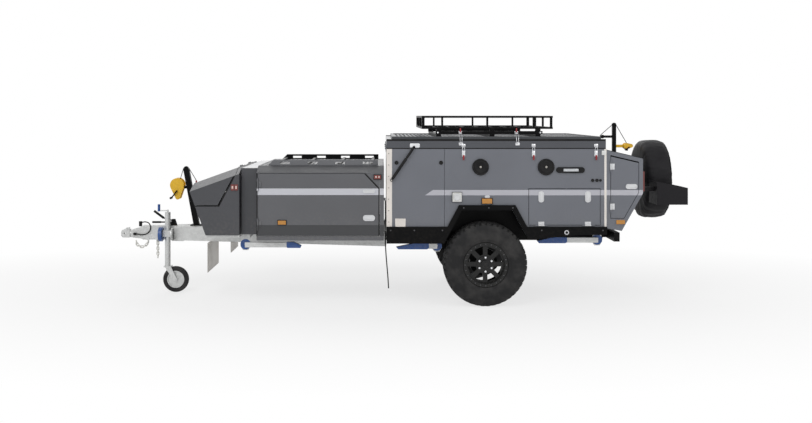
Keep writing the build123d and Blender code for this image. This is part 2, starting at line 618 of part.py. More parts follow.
with BuildPart() as winches:
    for key, (x, z, length, height, half) in WINCHES.items():
        reach = REAR_MAST_X + REAR_MAST_SIZE / 2 if key == "rear" else mast_x(z) - MAST_SIZE / 2
        back = x + length / 2 if key == "front" else x - length / 2
        bracket_half, bracket_rise = WINCH_BRACKET
        foot = reach - SEAM + bracket_rise * MAST_LEAN if key == "front" else reach + SEAM
        for sign in (-1, 1):
            cheek = span(sign, half - CHEEK, half)
            with BuildSketch(Plane.XZ.offset(-cheek[1])) as profile:
                for dx, dz, radius in CHEEK_ROUNDS[key]:
                    with Locations((x + dx, z + dz)):
                        Circle(radius)
                make_hull()
            extrude(profile.sketch, amount=CHEEK)
        pin_y(x, z, min(length, height) * WINCH_DRUM, (-half, half))
        bracket_z = (z - bracket_rise, z + bracket_rise)
        slab(tuple(sorted((back, foot))), (-bracket_half, bracket_half), bracket_z)
        slab(tuple(sorted((back, x))), (-half, half), bracket_z)
        shaft_z = z - height * CRANK_SHAFT[0]
        grip_x, grip_z = x - length * CRANK_THROW[0], z - height * CRANK_THROW[1]
        arm_y = -half - CRANK_ARM[0]
        pin_y(x, shaft_z, CRANK_SHAFT[1], (-half - CRANK_SHAFT[2], CHEEK / 2 - half))
        bar((x, arm_y, shaft_z), (grip_x, arm_y, grip_z), CRANK_ARM[1])
        pin_y(grip_x, grip_z, CRANK_GRIP[0], (-half - CRANK_GRIP[1], arm_y + CRANK_ARM[1]))
save(winches, "winches")

# Winch cables, parked tight: front to its drum and hooked back to the mast, rear along its arm

WIRE = 3.5
with BuildPart() as winch_cables:
    head = (MAST_HEAD_X - MAST_SIZE / 2 - 2, 0, MAST_HEAD_Z - 10)
    drum = min(WINCHES["front"][2:4]) * WINCH_DRUM
    turn = atan2(head[2] - WINCH_Z, head[0] - WINCH_X)
    bar(head, (WINCH_X + (drum + SEAM) * cos(turn), 0, WINCH_Z + (drum + SEAM) * sin(turn)), WIRE)
    back = (MAST_HEAD_X + MAST_SIZE / 2 + 6, 0, MAST_HEAD_Z - 12)
    hook_top = (HOOK_EYE[0] + 6, 0, HOOK_EYE[1] + 82)
    bar(back, hook_top, WIRE)
    bar(hook_top, (HOOK_EYE[0] + 4, 0, HOOK_EYE[1] + 9), 9)
    rear_head = (REAR_MAST_X - 28, 0, REAR_MAST_TOP - 18)
    arm_end = (REAR_ARM_TIP - 20 - WIRE, 0, REAR_ARM_Z + 14)
    bar(rear_head, arm_end, WIRE)
    bar(arm_end, (arm_end[0], 0, locker_top(arm_end[0], REAR_HOOK_CLEAR)), WIRE)
    winch_x, winch_z = WINCHES["rear"][:2]
    bar((REAR_MAST_X + 26.2, 0, REAR_MAST_TOP - 18), (winch_x - 6, 0, winch_z + 24), WIRE)
save(winch_cables, "winch_cables")

# Stone deflectors hung under the A-frame rails
# columns: x, half width, bottom

DEFLECTORS = ((-1980, 335, 248), (-1748, 250, 447))
DEFLECTOR_THICK = 6
with BuildPart() as stone_deflectors:
    for x, half, bottom in DEFLECTORS:
        top = DRAWBAR_BOTTOM - SEAM
        slab((x, x + DEFLECTOR_THICK), (-half, half), (bottom, top))
        slab((x, x + 40), (-half, half), (top - DEFLECTOR_THICK, top))
save(stone_deflectors, "stone_deflectors")

# Nose box: shell plates below the lid's seam, and the lid itself

NOSE_ANGLE = atan2(NOSE_REAR_Z - NOSE_BROW[1], NOSE_REAR - NOSE_BROW[0])
NOSE_LENGTH = hypot(NOSE_REAR_Z - NOSE_BROW[1], NOSE_REAR - NOSE_BROW[0])
NOSE_STRIP = 36     # fixed strip behind the lid, along the slope
NOSE_SLOPE = Plane(origin=(NOSE_BROW[0], 0, NOSE_BROW[1]), x_dir=(0, 1, 0),
                   z_dir=(cos(NOSE_ANGLE), 0, sin(NOSE_ANGLE)))
NOSE_SKIN = 22
NOSE_DIAGONAL = 1.875   # rise of the seam's diagonal for each unit back


def nose_front(z):
    """Front face of the nose at a height."""
    return NOSE_FOOT_X + (NOSE_BROW[0] - NOSE_FOOT_X) * (z - NOSE_FLOOR) / (NOSE_BROW[1] - NOSE_FLOOR)


def nose_brow(x):
    """Top edge of the nose's side at x."""
    return NOSE_BROW[1] + tan(NOSE_ANGLE) * (x - NOSE_BROW[0])


def nose_point(along, above):
    """X and Z of a point along the nose's slope and above it."""
    return (NOSE_BROW[0] + along * cos(NOSE_ANGLE) - above * sin(NOSE_ANGLE),
            NOSE_BROW[1] + along * sin(NOSE_ANGLE) + above * cos(NOSE_ANGLE))


def diagonal_top(shift):
    """Where the seam's diagonal, moved back by shift, meets the top edge of the side."""
    start = NOSE_SEAM_X + shift
    x = (nose_brow(0) - NOSE_SEAM_Z + NOSE_DIAGONAL * start) / (NOSE_DIAGONAL - tan(NOSE_ANGLE))
    return (x, nose_brow(x))


def nose_crown(start, end):
    """The three plates of the crowned top between two distances along the slope."""
    inner = NOSE_CROWN - NOSE_SKIN
    shoulder = BOX_HALF - (BOX_HALF - NOSE_CROWN_HALF) * NOSE_SKIN / NOSE_CROWN
    outlines = [[(-NOSE_CROWN_HALF, inner), (NOSE_CROWN_HALF, inner), (NOSE_CROWN_HALF, NOSE_CROWN),
                 (-NOSE_CROWN_HALF, NOSE_CROWN)]]
    for sign in (-1, 1):
        outlines.append([(sign * BOX_HALF, 0), (sign * shoulder, 0), (sign * NOSE_CROWN_HALF, inner),
                         (sign * NOSE_CROWN_HALF, NOSE_CROWN)])
    for outline in outlines:
        with BuildSketch(NOSE_SLOPE.offset(start)) as profile:
            Polygon(*inset(outline, SEAM / 2), align=None)
        extrude(profile.sketch, amount=end - start)


STRIP_START = NOSE_LENGTH - NOSE_STRIP
LID_END = STRIP_START - DOOR_GAP
NOSE_AXIS = nose_point(STRIP_START - DOOR_GAP / 2, NOSE_CROWN + HINGE_RADIUS)
NOSE_HINGES = (-320, 320)
KNUCKLE = 60


def knuckle_y(axis, centre, length, radius=HINGE_RADIUS):
    """Hinge barrel across the trailer."""
    pin_y(axis[0], axis[1], radius, (centre - length / 2, centre + length / 2))


with BuildPart() as nose_box:
    seam = NOSE_SEAM_Z - DOOR_GAP / 2
    slab((NOSE_FOOT_X + PANEL, NOSE_REAR - PANEL - SEAM), (SEAM + PANEL - BOX_HALF, BOX_HALF - PANEL - SEAM),
         (NOSE_FLOOR, NOSE_FLOOR + PANEL))
    side_plate([(nose_front(NOSE_FLOOR + PANEL), NOSE_FLOOR + PANEL + SEAM),
                (nose_front(NOSE_FLOOR + PANEL) + PANEL, NOSE_FLOOR + PANEL + SEAM),
                (nose_front(seam) + PANEL, seam), (nose_front(seam), seam)],
               (SEAM + PANEL - BOX_HALF, BOX_HALF - PANEL - SEAM))
    slab((NOSE_REAR - PANEL, NOSE_REAR), (SEAM + PANEL - BOX_HALF, BOX_HALF - PANEL - SEAM),
         (NOSE_FLOOR, NOSE_REAR_Z - 2 * SEAM - NOSE_STRIP * tan(NOSE_ANGLE)))
    nose_crown(STRIP_START, NOSE_LENGTH)
    for side, sign in SIDES:
        wall = span(sign, BOX_HALF - PANEL, BOX_HALF)
        side_plate([(nose_front(NOSE_FLOOR), NOSE_FLOOR), (NOSE_REAR, NOSE_FLOOR), (NOSE_REAR, seam),
                    (nose_front(seam), seam)], wall, SEAM / 2)
        foot = NOSE_SEAM_X + DOOR_GAP
        top = diagonal_top(DOOR_GAP)
        side_plate([(foot, seam), (NOSE_REAR, seam), (NOSE_REAR, nose_brow(NOSE_REAR)), top], wall, SEAM / 2)
    for y in NOSE_HINGES:
        for end in (-1, 1):
            centre = y + end * (KNUCKLE * 0.75 + PIN_SEAT)
            knuckle_y(NOSE_AXIS, centre, KNUCKLE / 2)
            leaf = [nose_point(STRIP_START, NOSE_CROWN - 4), nose_point(STRIP_START + 28, NOSE_CROWN - 4),
                    nose_point(STRIP_START + 28, NOSE_CROWN + 4), nose_point(STRIP_START, NOSE_CROWN + 4)]
            side_plate(leaf, (centre - KNUCKLE / 4, centre + KNUCKLE / 4))
save(nose_box, "nose_box")

with BuildPart() as nose_lid:
    seam = NOSE_SEAM_Z + DOOR_GAP / 2
    nose_crown(NOSE_SKIN + SEAM, LID_END)
    gable = [(-BOX_HALF, 0), (BOX_HALF, 0), (NOSE_CROWN_HALF, NOSE_CROWN), (-NOSE_CROWN_HALF, NOSE_CROWN)]
    with BuildSketch(NOSE_SLOPE) as profile:
        Polygon(*inset(gable, SEAM / 2), align=None)
    extrude(profile.sketch, amount=NOSE_SKIN)
    brow = NOSE_BROW[1] - SEAM
    side_plate([(nose_front(seam), seam), (nose_front(seam) + PANEL, seam),
                (nose_front(brow) + PANEL, brow), (nose_front(brow), brow)],
               (SEAM + PANEL - BOX_HALF, BOX_HALF - PANEL - SEAM))
    for side, sign in SIDES:
        wall = span(sign, BOX_HALF - PANEL, BOX_HALF)
        side_plate([(nose_front(seam), seam), (NOSE_SEAM_X - DOOR_GAP, seam), diagonal_top(-DOOR_GAP),
                    NOSE_BROW], wall, SEAM / 2)
    for y in NOSE_HINGES:
        knuckle_y(NOSE_AXIS, y, KNUCKLE)
        leaf = [nose_point(LID_END - 28, NOSE_CROWN - 4), nose_point(LID_END, NOSE_CROWN - 4),
                nose_point(LID_END, NOSE_CROWN + 4), nose_point(LID_END - 28, NOSE_CROWN + 4)]
        side_plate(leaf, (y - KNUCKLE / 2, y + KNUCKLE / 2))
save(nose_lid, "nose_lid")

# Mid box: closed shell between the nose and the front box

MID_SKIN = 8
with BuildPart() as mid_box:
    slab((MID_FRONT, MID_REAR), (-MID_HALF, MID_HALF), (DRAWBAR_TOP + SEAM, MID_TOP))
    slab((MID_FRONT + MID_SKIN, MID_REAR - MID_SKIN), (MID_SKIN - MID_HALF, MID_HALF - MID_SKIN),
         (DRAWBAR_TOP + MID_SKIN, MID_TOP - MID_SKIN), Mode.SUBTRACT)
save(mid_box, "mid_box")

# Front box: end walls, floor, side frames and doors

BOX_FLOOR = DRAWBAR_TOP + SEAM
DOOR_OUTLINE = [(BOX_DOOR_FRONT, BOX_DOOR_BOTTOM), (BOX_DOOR_REAR, BOX_DOOR_BOTTOM),
                (BOX_DOOR_REAR, BOX_SHOULDER - DOOR_GAP - BOX_DOOR_CUT[1]),
                (BOX_DOOR_REAR - BOX_DOOR_CUT[0], BOX_SHOULDER - DOOR_GAP),
                (BOX_DOOR_FRONT, BOX_SHOULDER - DOOR_GAP)]
BOX_AXIS = (BOX_DOOR_FRONT - DOOR_GAP / 2, BOX_HALF + HINGE_RADIUS + 1)
BOX_HINGES = (820, 1220)
LEAF = 5
TAIL_BLOCK_Z = (1060, 1086)   # block that the drain hose leaves from


def knuckle_z(x, y, centre, length, radius=HINGE_RADIUS):
    """Upright hinge barrel."""
    bar((x, y, centre - length / 2), (x, y, centre + length / 2), radius)


with BuildPart() as front_box:
    inner = BOX_HALF - PANEL - SEAM
    for limits in ((BOX_FRONT, BOX_FRONT + PANEL), (BOX_REAR - PANEL, BOX_REAR)):
        slab(limits, (-inner, inner), (BOX_FLOOR, BOX_SHOULDER - SEAM))
    slab((BOX_FRONT + PANEL + SEAM, BOX_REAR - PANEL - SEAM), (-inner, inner), (BOX_FLOOR, BOX_FLOOR + PANEL))
    opening = inset(DOOR_OUTLINE, -DOOR_GAP)
    for side, sign in SIDES:
        wall = span(sign, BOX_HALF - PANEL, BOX_HALF)
        side_plate([(BOX_FRONT, BOX_LIP), (BOX_REAR, BOX_LIP), (BOX_REAR, opening[0][1]),
                    (BOX_FRONT, opening[0][1])], wall, SEAM / 2)
        side_plate([(BOX_FRONT, opening[0][1]), (opening[0][0], opening[0][1]), (opening[0][0], BOX_SHOULDER),
                    (BOX_FRONT, BOX_SHOULDER)], wall, SEAM / 2)
        side_plate([(opening[1][0], opening[1][1]), (BOX_REAR, opening[1][1]), (BOX_REAR, BOX_SHOULDER),
                    (opening[1][0], BOX_SHOULDER)], wall, SEAM / 2)
        side_plate([(opening[3][0], BOX_SHOULDER), (opening[1][0], opening[2][1]),
                    (opening[1][0], BOX_SHOULDER)], wall, SEAM / 2)
        for z in BOX_HINGES:
            for end in (-1, 1):
                centre = z + end * (KNUCKLE * 0.75 + PIN_SEAT)
                knuckle_z(BOX_AXIS[0], sign * BOX_AXIS[1], centre, KNUCKLE / 2)
                slab((BOX_AXIS[0] - 11, BOX_AXIS[0] - 3), span(sign, BOX_HALF - 2, BOX_AXIS[1]),
                     (centre - KNUCKLE / 4, centre + KNUCKLE / 4))
    slab((BOX_REAR - 2, BODY_FRONT - 9), (8 - BOX_HALF, 32 - BOX_HALF), TAIL_BLOCK_Z)
save(front_box, "front_box")

LAMP_THICK = 12
DOOR_LAMP = ((-1172, -1092), (821, 861))
for side, sign in SIDES:
    with BuildPart() as front_door:
        side_plate(DOOR_OUTLINE, span(sign, BOX_HALF - PANEL, BOX_HALF))
        for z in BOX_HINGES:
            knuckle_z(BOX_AXIS[0], sign * BOX_AXIS[1], z, KNUCKLE)
            slab((BOX_AXIS[0], BOX_DOOR_FRONT + 36), span(sign, BOX_HALF - 2, BOX_HALF + LEAF),
                 (z - KNUCKLE / 2, z + KNUCKLE / 2))
        slab(DOOR_LAMP[0], span(sign, BOX_HALF - 2, BOX_HALF + LAMP_THICK), DOOR_LAMP[1])
    save(front_door, f"front_door_{side}")

# Front box's top: slopes, deck and gables in checker plate, with the low load rails on it

TOP_SKIN = 22
with BuildPart() as front_box_top:
    x_limits = (BOX_FRONT, BOX_REAR)
    cross_plate([(-BOX_DECK_HALF, BOX_DECK - TOP_SKIN), (BOX_DECK_HALF, BOX_DECK - TOP_SKIN),
                 (BOX_DECK_HALF, BOX_DECK), (-BOX_DECK_HALF, BOX_DECK)], x_limits, SEAM / 2)
    foot = BOX_HALF - (BOX_HALF - BOX_DECK_HALF) * TOP_SKIN / (BOX_DECK - BOX_SHOULDER)
    for sign in (-1, 1):
        cross_plate([(sign * BOX_HALF, BOX_SHOULDER), (sign * foot, BOX_SHOULDER),
                     (sign * BOX_DECK_HALF, BOX_DECK - TOP_SKIN), (sign * BOX_DECK_HALF, BOX_DECK)],
                    x_limits, SEAM / 2)
    gable = [(-foot, BOX_SHOULDER), (foot, BOX_SHOULDER), (BOX_DECK_HALF, BOX_DECK - TOP_SKIN),
             (-BOX_DECK_HALF, BOX_DECK - TOP_SKIN)]
    for limits in ((BOX_FRONT, BOX_FRONT + PANEL), (BOX_REAR - PANEL, BOX_REAR)):
        cross_plate(gable, limits, SEAM)
save(front_box_top, "front_box_top")

RACK_THICK = 20
RACK_GAPS = 4
RACK_WINDOW = (100, 24)
RACK_WINDOW_RISE = 12
RACK_WINDOW_SHARE = 0.62   # place of a window along its share of the rail
RACK_BAR_HALF = 15
RACK_BAR_RISE = 20
RACK_BAR_INSET = 60        # of the first and last bar from the rails' ends
with BuildPart() as front_rack:
    base = BOX_DECK + SEAM
    pitch = (RACK_REAR - RACK_FRONT) / RACK_GAPS
    for sign in (-1, 1):
        rail = span(sign, RACK_HALF - RACK_THICK, RACK_HALF)
        side_plate([(RACK_FRONT, base), (RACK_REAR, base), (RACK_REAR, base + RACK_HEIGHT),
                    (RACK_FRONT + RACK_HEIGHT, base + RACK_HEIGHT)], rail)
        for k in range(RACK_GAPS):
            x = RACK_FRONT + pitch * (k + RACK_WINDOW_SHARE)
            slab((x - RACK_WINDOW[0] / 2, x + RACK_WINDOW[0] / 2), rail,
                 (base + RACK_WINDOW_RISE, base + RACK_WINDOW_RISE + RACK_WINDOW[1]), Mode.SUBTRACT)
    inner = RACK_HALF - RACK_THICK - SEAM
    for k in range(RACK_GAPS):
        x = RACK_FRONT + RACK_BAR_INSET + (RACK_REAR - RACK_FRONT - 2 * RACK_BAR_INSET) * k / (RACK_GAPS - 1)
        slab((x - RACK_BAR_HALF, x + RACK_BAR_HALF), (-inner, inner), (base, base + RACK_BAR_RISE))
save(front_rack, "front_rack")

# Main body: floor, end walls and wheel wells

ARCH_X = AXLE_X + 16
ARCH_OUTER = [(ARCH_X - ARCH_FOOT_HALF, SILL_TOP), (ARCH_X - ARCH_TOP_HALF, ARCH_TOP),
              (ARCH_X + ARCH_TOP_HALF, ARCH_TOP), (ARCH_X + ARCH_FOOT_HALF, SILL_TOP)]
ARCH_SLOPE = (ARCH_FOOT_HALF - ARCH_TOP_HALF) / (ARCH_TOP - SILL_TOP)


def arch_x(z, end):
    """Edge of the wheel opening at a height; end is -1 at the front and 1 at the rear."""
    return ARCH_X + end * (ARCH_TOP_HALF - ARCH_BAND * 0.58 + ARCH_SLOPE * (ARCH_TOP - ARCH_BAND - z))


OPENING_TOP = ARCH_TOP - ARCH_BAND
WELL_X = (AXLE_X - WELL_HALF_LENGTH, AXLE_X + WELL_HALF_LENGTH)
INNER_HALF = BODY_HALF - BODY_WALL - SEAM
LID_AXIS = (BODY_FRONT - HINGE_RADIUS - 1, BODY_TOP)
LID_HINGES = (300 - BODY_HALF, 0, BODY_HALF - 300)
LID_KNUCKLE = 120

with BuildPart() as body_tub:
    floor = (FLOOR_BOTTOM + SEAM, FLOOR_TOP)
    slab((BODY_FRONT, WELL_X[0] - SEAM), (-INNER_HALF, INNER_HALF), floor)
    slab(WELL_X, (-WELL_INNER_Y, WELL_INNER_Y), floor)
    slab((WELL_X[1] + SEAM, BODY_REAR), (-INNER_HALF, INNER_HALF), floor)
    walls = (FLOOR_TOP + SEAM, BODY_TOP)
    slab((BODY_FRONT, BODY_FRONT + BODY_WALL), (-INNER_HALF, INNER_HALF), walls)
    slab((BODY_REAR - BODY_WALL, BODY_REAR), (-INNER_HALF, INNER_HALF), walls)
    for side, sign in SIDES:
        inner = span(sign, WELL_INNER_Y + SEAM, WELL_INNER_Y + WELL_WALL)
        outer = span(sign, WELL_INNER_Y + WELL_WALL + SEAM, INNER_HALF)
        slab(WELL_X, inner, (FLOOR_BOTTOM + SEAM, WELL_TOP))
        slab(WELL_X, outer, (WELL_TOP - WELL_WALL, WELL_TOP))
        for x in (WELL_X[0], WELL_X[1] - WELL_WALL):
            slab((x, x + WELL_WALL), outer, (FLOOR_BOTTOM + SEAM, WELL_TOP - WELL_WALL - SEAM))
    for y in LID_HINGES:
        for end in (-1, 1):
            centre = y + end * (LID_KNUCKLE * 0.75 + PIN_SEAT)
            knuckle_y(LID_AXIS, centre, LID_KNUCKLE / 2)
            slab((BODY_FRONT - HINGE_RADIUS, BODY_FRONT + 2),
                 (centre - LID_KNUCKLE / 4, centre + LID_KNUCKLE / 4), (BODY_TOP - 34, BODY_TOP - 2))
save(body_tub, "body_tub")

# Body sides with the wheel opening and the hatch opening, as panels

HATCH_OPEN = (HATCH_FRONT - DOOR_GAP, HATCH_REAR + DOOR_GAP, HATCH_BOTTOM - DOOR_GAP, HATCH_TOP + DOOR_GAP)
HATCH_AXIS = (BODY_HALF + HINGE_RADIUS + 1, HATCH_BOTTOM - DOOR_GAP)
HATCH_HINGES = (1460, 1927)
SEAM_LINE = 3

for side, sign in SIDES:
    with BuildPart() as body_side:
        wall = span(sign, BODY_HALF - BODY_WALL, BODY_HALF)
        x0, x1, z0, z1 = HATCH_OPEN
        low = FLOOR_BOTTOM
        front = BODY_SEAM_X + SEAM_LINE
        panels = (
            [(BODY_FRONT, low), (BODY_SEAM_X, low), (BODY_SEAM_X, BODY_TOP), (BODY_FRONT, BODY_TOP)],
            [(front, z1), (BODY_REAR, z1), (BODY_REAR, BODY_TOP), (front, BODY_TOP)],
            [(front, OPENING_TOP), (x0, OPENING_TOP), (x0, z1), (front, z1)],
            [(front, low), (arch_x(low, -1), low), (arch_x(OPENING_TOP, -1), OPENING_TOP),
             (front, OPENING_TOP)],
            [(arch_x(low, 1), low), (x0, low), (x0, OPENING_TOP), (arch_x(OPENING_TOP, 1), OPENING_TOP)],
            [(x0, low), (BODY_REAR, low), (BODY_REAR, z0), (x0, z0)],
            [(x1, z0), (BODY_REAR, z0), (BODY_REAR, z1), (x1, z1)],
        )
        for outline in panels:
            side_plate(outline, wall, SEAM / 2)
        for x in HATCH_HINGES:
            for end in (-1, 1):
                centre = x + end * (KNUCKLE * 0.75 + PIN_SEAT)
                bar((centre - KNUCKLE / 4, sign * HATCH_AXIS[0], HATCH_AXIS[1]),
                    (centre + KNUCKLE / 4, sign * HATCH_AXIS[0], HATCH_AXIS[1]), HINGE_RADIUS)
                slab((centre - KNUCKLE / 4, centre + KNUCKLE / 4), span(sign, BODY_HALF - 2, HATCH_AXIS[0]),
                     (HATCH_AXIS[1] - 11, HATCH_AXIS[1] - 3))
    save(body_side, f"body_side_{side}")

    with BuildPart() as hatch:
        slab((HATCH_FRONT, HATCH_REAR), span(sign, BODY_HALF - PANEL, BODY_HALF), (HATCH_BOTTOM, HATCH_TOP))
        for x in HATCH_HINGES:
            bar((x - KNUCKLE / 2, sign * HATCH_AXIS[0], HATCH_AXIS[1]),
                (x + KNUCKLE / 2, sign * HATCH_AXIS[0], HATCH_AXIS[1]), HINGE_RADIUS)
            slab((x - KNUCKLE / 2, x + KNUCKLE / 2), span(sign, BODY_HALF - 2, BODY_HALF + LEAF),
                 (HATCH_AXIS[1], HATCH_BOTTOM + 32))
    save(hatch, f"hatch_{side}")

# Sills with the wheel arches' bands

with BuildPart() as sills:
    for side, sign in SIDES:
        skin = span(sign, BODY_HALF + SEAM, BODY_HALF + SILL_THICK)
        side_plate([(BODY_FRONT, SILL_BOTTOM), (arch_x(SILL_BOTTOM, -1), SILL_BOTTOM),
                    (arch_x(SILL_TOP, -1), SILL_TOP), (BODY_FRONT, SILL_TOP)], skin, SEAM / 2)
        rear_foot = SILL_REAR_BOTTOM - 51
        side_plate([(arch_x(rear_foot, 1), rear_foot), (1838, SILL_REAR_BOTTOM), (BODY_REAR, SILL_REAR_BOTTOM),
                    (BODY_REAR, SILL_TOP), (arch_x(SILL_TOP, 1), SILL_TOP)], skin)
        inner = [(arch_x(SILL_TOP, -1), SILL_TOP), (arch_x(OPENING_TOP, -1), OPENING_TOP),
                 (arch_x(OPENING_TOP, 1), OPENING_TOP), (arch_x(SILL_TOP, 1), SILL_TOP)]
        for k in range(3):
            side_plate((ARCH_OUTER[k], ARCH_OUTER[k + 1], inner[k + 1], inner[k]), skin, SEAM / 2)
save(sills, "sills")

# Aluminium strips on the body's corners, with the struts' lower pins

STRIP_THICK = 3
STRIP_WIDTH = 55
REAR_STRIP_WIDTH = 22
STRUT_PIN = 6
STRUT_EYE = 14
STRUT_EYE_HALF = 7
with BuildPart() as corner_strips:
    for side, sign in SIDES:
        skin = span(sign, BODY_HALF + SEAM, BODY_HALF + SEAM + STRIP_THICK)
        slab((BODY_FRONT, BODY_FRONT + STRIP_WIDTH), skin, (SILL_TOP + SEAM, BODY_TOP))
        slab((BODY_REAR - REAR_STRIP_WIDTH, BODY_REAR), skin, (SILL_TOP + SEAM, BODY_TOP))
        bar((STRUT_BODY_PIN[0], sign * (BODY_HALF + 1), STRUT_BODY_PIN[1]),
            (STRUT_BODY_PIN[0], sign * (STRUT_Y + STRUT_EYE_HALF + 3), STRUT_BODY_PIN[1]), STRUT_PIN)
save(corner_strips, "corner_strips")

# Lid: shell hinged at its front edge, deck on top, roof basket

LID_BOTTOM = BODY_TOP + LID_SEAT
LID_REAR = BODY_REAR - LID_REAR_GAP
LID_SKIN = 25
with BuildPart() as body_lid:
    slab((BODY_FRONT, LID_REAR), (-BODY_HALF, BODY_HALF), (LID_TOP - LID_SKIN, LID_TOP))
    side_z = (LID_BOTTOM, LID_TOP - LID_SKIN - SEAM)
    slab((BODY_FRONT, BODY_FRONT + BODY_WALL), (-INNER_HALF, INNER_HALF), side_z)
    slab((LID_REAR - BODY_WALL, LID_REAR), (-INNER_HALF, INNER_HALF), side_z)
    for side, sign in SIDES:
        slab((BODY_FRONT, LID_REAR), span(sign, BODY_HALF - BODY_WALL, BODY_HALF), side_z)
        bar((STRUT_LID_PIN[0], sign * (BODY_HALF - 4), STRUT_LID_PIN[1]),
            (STRUT_LID_PIN[0], sign * (STRUT_Y - STRUT_EYE_HALF), STRUT_LID_PIN[1]), STRUT_PIN)
        slab((STRUT_LID_PIN[0] - 48, STRUT_LID_PIN[0] + 48), span(sign, BODY_HALF - 2, BODY_HALF + 4),
             (STRUT_LID_PIN[1] - 14, STRUT_LID_PIN[1] + 20))
    for y in LID_HINGES:
        knuckle_y(LID_AXIS, y, LID_KNUCKLE)
        slab((BODY_FRONT - HINGE_RADIUS, BODY_FRONT + 2), (y - LID_KNUCKLE / 2, y + LID_KNUCKLE / 2),
             (BODY_TOP + 3, BODY_TOP + 34))
save(body_lid, "body_lid")

DECK_RIM = 30
DECK_STEP = 8
with BuildPart() as lid_deck:
    base = LID_TOP + SEAM
    for x in (DECK_FRONT, DECK_REAR - DECK_RIM):
        slab((x, x + DECK_RIM), (-DECK_HALF, DECK_HALF), (base, DECK_TOP))
    for sign in (-1, 1):
        slab((DECK_FRONT + DECK_RIM + SEAM, DECK_REAR - DECK_RIM - SEAM),
             span(sign, DECK_HALF - DECK_RIM, DECK_HALF), (base, DECK_TOP))
    slab((DECK_FRONT + DECK_RIM + SEAM, DECK_REAR - DECK_RIM - SEAM),
         (DECK_RIM + SEAM - DECK_HALF, DECK_HALF - DECK_RIM - SEAM), (base, DECK_TOP - DECK_STEP))
save(lid_deck, "lid_deck")

# columns: share of the basket's length at which a side post stands
BASKET_POSTS = (0.006, 0.15, 0.5, 0.86, 0.994)
BASKET_END_POSTS = (-1, -0.33, 0.33, 1)
BASKET_SLATS = 9
BASKET_MESH = 8         # thickness of the floor's bars
CHANNEL_X = (440, 980, 1445)
CHANNEL_HALF = 25
CARRY_RAIL_X = (410, 1490)
CARRY_RAIL_Z = (1722, 1754)
CARRY_RAIL_WIDTH = 40
with BuildPart() as roof_basket:
    bar_half = BASKET_BAR / 2
    length = BASKET_REAR - BASKET_FRONT
    for sign in (-1, 1):
        y_limits = span(sign, BASKET_HALF - BASKET_BAR, BASKET_HALF)
        for z in (BASKET_FLOOR, BASKET_TOP - BASKET_BAR):
            slab((BASKET_FRONT, BASKET_REAR), y_limits, (z, z + BASKET_BAR))
        for share in BASKET_POSTS:
            x = BASKET_FRONT + bar_half + (length - BASKET_BAR) * share
            slab((x - bar_half, x + bar_half), y_limits, (BASKET_FLOOR, BASKET_TOP))
    inner = BASKET_HALF - BASKET_BAR - SEAM
    for x in (BASKET_FRONT, BASKET_REAR - BASKET_BAR):
        for z in (BASKET_FLOOR, BASKET_TOP - BASKET_BAR):
            slab((x, x + BASKET_BAR), (-inner, inner), (z, z + BASKET_BAR))
        for share in BASKET_END_POSTS:
            y = share * (inner - bar_half)
            slab((x, x + BASKET_BAR), (y - bar_half, y + bar_half), (BASKET_FLOOR, BASKET_TOP))
    for k in range(BASKET_SLATS):
        room = length - 3 * BASKET_BAR - 2 * SEAM
        x = BASKET_FRONT + BASKET_BAR + SEAM + bar_half + room * k / (BASKET_SLATS - 1)
        slab((x - bar_half, x + bar_half), (-inner, inner), (BASKET_FLOOR, BASKET_FLOOR + BASKET_MESH))
    for sign in (-1, 0, 1):
        y = sign * inner * 0.6
        slab((BASKET_FRONT + BASKET_BAR + SEAM, BASKET_REAR - BASKET_BAR - SEAM), (y - bar_half, y + bar_half),
             (BASKET_FLOOR, BASKET_FLOOR + BASKET_MESH))
    for x in CHANNEL_X:
        slab((x - CHANNEL_HALF, x + CHANNEL_HALF), (-BASKET_HALF, BASKET_HALF),
             (DECK_TOP - DECK_STEP + SEAM, CARRY_RAIL_Z[0] - SEAM))
    for sign in (-1, 1):
        y_limits = span(sign, BASKET_HALF - CARRY_RAIL_WIDTH, BASKET_HALF)
        slab(CARRY_RAIL_X, y_limits, CARRY_RAIL_Z)
        for x in CHANNEL_X:
            slab((x - CHANNEL_HALF, x + CHANNEL_HALF), y_limits, (CARRY_RAIL_Z[1] + SEAM, BASKET_FLOOR - SEAM))
save(roof_basket, "roof_basket")

# Lid struts: tube on the body's pin, rod to the lid's pin

STRUT_RUN = Vector(STRUT_LID_PIN[0] - STRUT_BODY_PIN[0], 0, STRUT_LID_PIN[1] - STRUT_BODY_PIN[1])
STRUT_LENGTH = STRUT_RUN.length
STRUT_TUBE_END = 262
STRUT_BORE_START = 24
STRUT_ROD_START = 30
STRUT_ROD_EYE = 12


def strut_point(sign, along):
    """Point along a strut, from the body's pin."""
    return (STRUT_BODY_PIN[0] + STRUT_RUN.X / STRUT_LENGTH * along, sign * STRUT_Y,
            STRUT_BODY_PIN[1] + STRUT_RUN.Z / STRUT_LENGTH * along)


